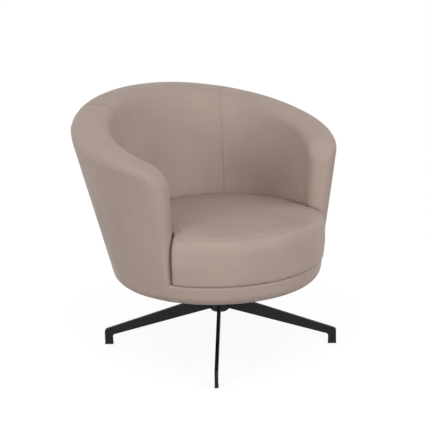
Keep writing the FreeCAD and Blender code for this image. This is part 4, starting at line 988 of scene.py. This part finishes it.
class Shader:
    """A node material in the making."""

    def __init__(self, name):
        self.material = bpy.data.materials.new(name)
        self.material.use_nodes = True
        self.tree = self.material.node_tree
        self.surface = self.tree.nodes["Principled BSDF"]
        self.place = self.node("ShaderNodeTexCoord", {}).outputs["Object"]

    def node(self, kind, inputs, **settings):
        """A new node with some inputs' values and some settings of its own."""
        made = self.tree.nodes.new(kind)
        for name, value in settings.items():
            setattr(made, name, value)
        for name, value in inputs.items():
            made.inputs[name].default_value = value
        return made

    def link(self, start, end):
        self.tree.links.new(start, end)

    def set(self, name, value):
        self.surface.inputs[name].default_value = value

    def noise(self, scale, detail=2.0, roughness=0.5, where=None):
        made = self.node("ShaderNodeTexNoise", {"Scale": scale, "Detail": detail, "Roughness": roughness})
        self.link(where or self.place, made.inputs["Vector"])
        return made.outputs["Fac"]

    def cells(self, scale, feature="F1"):
        made = self.node("ShaderNodeTexVoronoi", {"Scale": scale}, feature=feature)
        self.link(self.place, made.inputs["Vector"])
        return made.outputs["Distance"]

    def waves(self, scale, direction):
        made = self.node("ShaderNodeTexWave", {"Scale": scale}, bands_direction=direction)
        self.link(self.place, made.inputs["Vector"])
        return made.outputs["Fac"]

    def stretched(self, scale):
        made = self.node("ShaderNodeMapping", {"Scale": scale})
        self.link(self.place, made.inputs["Vector"])
        return made.outputs["Vector"]

    def ranged(self, value, low, high, out_low, out_high):
        ends = {"From Min": low, "From Max": high, "To Min": out_low, "To Max": out_high}
        made = self.node("ShaderNodeMapRange", ends)
        self.link(value, made.inputs["Value"])
        return made.outputs["Result"]

    def sum(self, first, second, weight=1.0):
        made = self.node("ShaderNodeMath", {1: weight}, operation="MULTIPLY_ADD")
        self.link(second, made.inputs[0])
        self.link(first, made.inputs[2])
        return made.outputs["Value"]

    def product(self, first, second):
        made = self.node("ShaderNodeMath", {}, operation="MULTIPLY")
        self.link(first, made.inputs[0])
        self.link(second, made.inputs[1])
        return made.outputs["Value"]

    def colours(self, value, *stops):
        """A ramp through colours, each a pair of place and colour."""
        made = self.node("ShaderNodeValToRGB", {})
        ramp = made.color_ramp
        while len(ramp.elements) < len(stops):
            ramp.elements.new(0.5)
        for element, (where, colour) in zip(ramp.elements, stops):
            element.position = where
            element.color = (*colour, 1)
        self.link(value, made.inputs["Fac"])
        return made.outputs["Color"]

    def colour_from(self, output):
        self.link(output, self.surface.inputs["Base Color"])

    def roughness_from(self, output):
        self.link(output, self.surface.inputs["Roughness"])

    def bump_from(self, height, distance, strength=1.0, rounded=None):
        made = self.node("ShaderNodeBump", {"Strength": strength, "Distance": distance})
        self.link(height, made.inputs["Height"])
        if rounded:
            edge = self.node("ShaderNodeBevel", {"Radius": rounded}, samples=6)
            self.link(edge.outputs["Normal"], made.inputs["Normal"])
        self.link(made.outputs["Normal"], self.surface.inputs["Normal"])


def toned(colour, factor):
    return tuple(channel * factor for channel in colour)


def leather(name, colour):
    """Smooth upholstery leather: fine pebble grain with painted shade in its crevices, faint clouds of
    tone, soft gloss.
    """
    shader = Shader(name)
    pebbles = shader.cells(620, "DISTANCE_TO_EDGE")
    pebbles = shader.ranged(pebbles, 0.0, 0.22, 0.0, 1.0)
    fine_pebbles = shader.cells(1500)
    clouds = shader.noise(7, 3, 0.55)
    pores = shader.noise(2600, 1)
    height = shader.sum(pebbles, fine_pebbles, -0.5)
    height = shader.sum(height, pores, 0.25)
    shader.bump_from(height, 0.00016, 0.55)
    # The tone is random clouds plus painted shade: the grain's crevices come out a little darker.
    tone = shader.sum(clouds, pebbles, 0.08)
    shader.colour_from(shader.colours(
        tone,
        (0.30, toned(colour, 0.93)),
        (0.52, colour),
        (0.78, toned(colour, 1.05)),
    ))
    patches = shader.noise(34, 4, 0.6)
    shader.roughness_from(shader.ranged(shader.sum(patches, pebbles, -0.12), 0.2, 0.8, 0.46, 0.60))
    shader.set("Specular IOR Level", 0.42)
    return shader.material


def thread(name, colour):
    shader = Shader(name)
    twist = shader.noise(1800, 2)
    shader.colour_from(shader.colours(twist, (0.3, toned(colour, 0.8)), (0.7, colour)))
    shader.bump_from(twist, 0.0001)
    shader.set("Roughness", 0.7)
    shader.set("Specular IOR Level", 0.3)
    return shader.material


def powder_coat(name, colour):
    """Satin black powder coat: orange peel, light rubbing in smears, rounded edges."""
    shader = Shader(name)
    peel = shader.noise(900, 2)
    smears = shader.noise(14, 4, 0.6)
    shader.colour_from(shader.colours(smears, (0.3, toned(colour, 0.85)), (0.75, toned(colour, 1.3))))
    shader.roughness_from(shader.ranged(shader.sum(smears, peel, 0.2), 0.3, 0.9, 0.34, 0.48))
    shader.bump_from(peel, 0.00006, 0.5, rounded=0.0012)
    shader.set("Specular IOR Level", 0.25)
    return shader.material


def moulded(name, colour):
    """Moulded plastic: an even fine spark texture, soft sheen."""
    shader = Shader(name)
    spark = shader.noise(1400, 1)
    cloud = shader.noise(20, 2)
    shader.colour_from(shader.colours(cloud, (0.3, toned(colour, 0.85)), (0.7, toned(colour, 1.15))))
    shader.roughness_from(shader.ranged(cloud, 0.2, 0.8, 0.44, 0.56))
    shader.bump_from(spark, 0.00008, 0.6, rounded=0.0006)
    return shader.material


def plated(name, colour):
    """Zinc plate: faint crystal pattern and fine scratches."""
    shader = Shader(name)
    crystals = shader.cells(140)
    scratches = shader.noise(60, 5, 0.7, shader.stretched((1, 1, 18)))
    shader.colour_from(shader.colours(crystals, (0.1, toned(colour, 0.86)), (0.7, colour)))
    shader.roughness_from(shader.ranged(scratches, 0.3, 0.7, 0.24, 0.42))
    shader.bump_from(scratches, 0.00003, 0.6, rounded=0.0003)
    shader.set("Metallic", 1.0)
    return shader.material


def plywood(name, colour):
    """Birch plywood: long grain on the faces, fine flecks."""
    shader = Shader(name)
    long_grain = shader.noise(16, 6, 0.6, shader.stretched((1.2, 14, 40)))
    flecks = shader.noise(420, 2, 0.5, shader.stretched((0.3, 3, 1)))
    plies = shader.waves(105, "Z")
    tone = shader.sum(long_grain, flecks, 0.15)
    tone = shader.sum(tone, plies, 0.08)
    shader.colour_from(shader.colours(
        tone,
        (0.35, toned(colour, 0.62)),
        (0.55, toned(colour, 0.9)),
        (0.8, toned(colour, 1.1)),
    ))
    shader.bump_from(tone, 0.0002, 0.4)
    shader.set("Roughness", 0.72)
    return shader.material


def woven(name, colour, threads, depth=0.0003):
    """Cloth with threads over and under, the hollows between them darker as painted shade."""
    shader = Shader(name)
    warp = shader.waves(threads, "X")
    weft = shader.waves(threads, "Y")
    weave = shader.product(warp, weft)
    fuzz = shader.noise(1200, 3)
    # The tone follows the weave, so the colour is darker where the threads dip under: painted shade
    # between threads, with random fuzz.
    tone = shader.sum(weave, fuzz, 0.5)
    shader.colour_from(shader.colours(tone, (0.1, toned(colour, 0.6)), (0.9, toned(colour, 1.4))))
    shader.bump_from(tone, depth, 0.7)
    shader.set("Roughness", 0.9)
    shader.set("Specular IOR Level", 0.2)
    return shader.material


def foam(name, colour):
    """Open-cell foam with pores darkened as painted shade, and a slight yellowing."""
    shader = Shader(name)
    pores = shader.cells(950)
    cloud = shader.noise(12, 3)
    # The pores darken the colour at their hollows: painted shade, over random clouds.
    tone = shader.sum(cloud, pores, 0.3)
    shader.colour_from(shader.colours(tone, (0.3, toned(colour, 0.8)), (0.8, colour)))
    shader.bump_from(pores, 0.0006, 0.8)
    shader.set("Roughness", 0.95)
    return shader.material


LEATHER_COLOUR = (0.412, 0.317, 0.270)
THREAD_COLOUR = (0.33, 0.25, 0.21)
hide = leather("taupe_leather", LEATHER_COLOUR)
tonal_thread = thread("taupe_thread", THREAD_COLOUR)
SLOT_MATERIALS = {
    "leather": hide,
    "base_steel": powder_coat("black_powder_coat", (0.005, 0.005, 0.0052)),
    "nylon": moulded("black_nylon", (0.03, 0.03, 0.031)),
    "zinc_steel": plated("zinc_plate", (0.62, 0.62, 0.60)),
    "frame_steel": powder_coat("grey_primer", (0.12, 0.12, 0.12)),
    "plywood": plywood("birch_plywood", (0.62, 0.44, 0.26)),
    "webbing": woven("black_webbing", (0.03, 0.03, 0.03), 260),
    "black_cloth": woven("black_lining", (0.022, 0.022, 0.022), 480, 0.00015),
    "foam": foam("seat_foam", (0.82, 0.74, 0.54)),
}


def paint(piece, material):
    """Give a piece one material, in every slot that it has."""
    if not piece.material_slots:
        piece.data.materials.append(material)
    for slot in piece.material_slots:
        slot.material = material


slot_of = {row["node"]: row["material_slot"] for row in frame["record"]["subparts"]}
for node_name, node in nodes.items():
    paint(node, SLOT_MATERIALS[slot_of[node_name]])
for piece in (outside, inside_back, inside_left, inside_right, band, cushion):
    paint(piece, hide)
for piece in stitches:
    paint(piece, tonal_thread)
for piece in arm_foams:
    paint(piece, SLOT_MATERIALS["foam"])
paint(welds, SLOT_MATERIALS["base_steel"])
paint(staples, SLOT_MATERIALS["zinc_steel"])


# Floor, lamps and camera

FLOOR_COLOUR = (0.2, 0.2, 0.2)
FLOOR_GLOW = 0.86
FLOOR_SIZE = 30
FLOOR_DROP = 0.0005
WORLD_LIGHT = 0.72
LAMP_DISTANCE = 3.2
LAMP_AIM = Vector((0, 0, 0.45))
CAMERA_PLACE = (-2.12183, -3.34282, 1.52390)
CAMERA_TURN = -32.2751
CAMERA_DIP = 15.7250
CAMERA_ROLL = 1.0887
CAMERA_LENS = 115.051
SENSOR_WIDTH = 36


def seen_ray(tree):
    """A node output that is 1 for rays of the camera, of reflections and through glass."""
    path = tree.nodes.new("ShaderNodeLightPath")
    seen = path.outputs["Is Camera Ray"]
    for name in ("Is Glossy Ray", "Is Transmission Ray"):
        either = tree.nodes.new("ShaderNodeMath")
        either.operation = "MAXIMUM"
        tree.links.new(seen, either.inputs[0])
        tree.links.new(path.outputs[name], either.inputs[1])
        seen = either.outputs["Value"]
    return seen


def make_floor():
    """A pale floor: white to the eye, with a soft shadow under the chair."""
    built = bmesh.new()
    bmesh.ops.create_grid(built, x_segments=1, y_segments=1, size=FLOOR_SIZE)
    floor = finished("floor", built)
    floor.location.z = -FLOOR_DROP
    material = bpy.data.materials.new("pale_floor")
    material.use_nodes = True
    tree = material.node_tree
    output = tree.nodes["Material Output"]
    tree.nodes.remove(tree.nodes["Principled BSDF"])
    diffuse = tree.nodes.new("ShaderNodeBsdfDiffuse")
    diffuse.inputs["Color"].default_value = (*FLOOR_COLOUR, 1)
    glow = tree.nodes.new("ShaderNodeEmission")
    strength = tree.nodes.new("ShaderNodeMath")
    strength.operation = "MULTIPLY"
    strength.inputs[1].default_value = FLOOR_GLOW
    tree.links.new(seen_ray(tree), strength.inputs[0])
    tree.links.new(strength.outputs["Value"], glow.inputs["Strength"])
    both = tree.nodes.new("ShaderNodeAddShader")
    tree.links.new(diffuse.outputs["BSDF"], both.inputs[0])
    tree.links.new(glow.outputs["Emission"], both.inputs[1])
    tree.links.new(both.outputs["Shader"], output.inputs["Surface"])
    floor.data.materials.append(material)


def make_world():
    """Even studio light, and white where the camera or a reflection sees past the floor."""
    world = bpy.data.worlds.new("studio")
    world.use_nodes = True
    bpy.context.scene.world = world
    tree = world.node_tree
    background = tree.nodes["Background"]
    background.inputs["Color"].default_value = (1, 1, 1, 1)
    level = tree.nodes.new("ShaderNodeMapRange")
    level.inputs["To Min"].default_value = WORLD_LIGHT
    level.inputs["To Max"].default_value = 1.0
    tree.links.new(seen_ray(tree), level.inputs["Value"])
    tree.links.new(level.outputs["Result"], background.inputs["Strength"])


def make_lamp(name, heading, rise, size, power):
    """A soft square lamp facing the chair, its heading in degrees from the front towards the right."""
    data = bpy.data.lights.new(name, "AREA")
    data.shape = "SQUARE"
    data.size = size
    data.energy = power
    lamp = bpy.data.objects.new(name, data)
    bpy.context.scene.collection.objects.link(lamp)
    turn, lift = math.radians(heading), math.radians(rise)
    way = Vector((math.sin(turn) * math.cos(lift), -math.cos(turn) * math.cos(lift), math.sin(lift)))
    lamp.location = LAMP_AIM + way * LAMP_DISTANCE
    lamp.rotation_mode = "QUATERNION"
    lamp.rotation_quaternion = (-way).to_track_quat("-Z", "Y")


def make_camera():
    """The photo's camera, fitted to the chair's outlines."""
    data = bpy.data.cameras.new("camera")
    data.lens = CAMERA_LENS
    data.sensor_width = SENSOR_WIDTH
    camera = bpy.data.objects.new("camera", data)
    bpy.context.scene.collection.objects.link(camera)
    turn = Matrix.Rotation(math.radians(CAMERA_TURN), 4, "Z")
    dip = Matrix.Rotation(math.radians(90 - CAMERA_DIP), 4, "X")
    roll = Matrix.Rotation(math.radians(-CAMERA_ROLL), 4, "Z")
    camera.matrix_world = Matrix.Translation(CAMERA_PLACE) @ turn @ dip @ roll
    bpy.context.scene.camera = camera


make_floor()
make_world()
make_lamp("side_softbox", -70, 10, 0.8, 28)
make_lamp("front_softbox", 5, 10, 1.4, 31)
make_camera()
bpy.context.scene.view_settings.view_transform = "Standard"
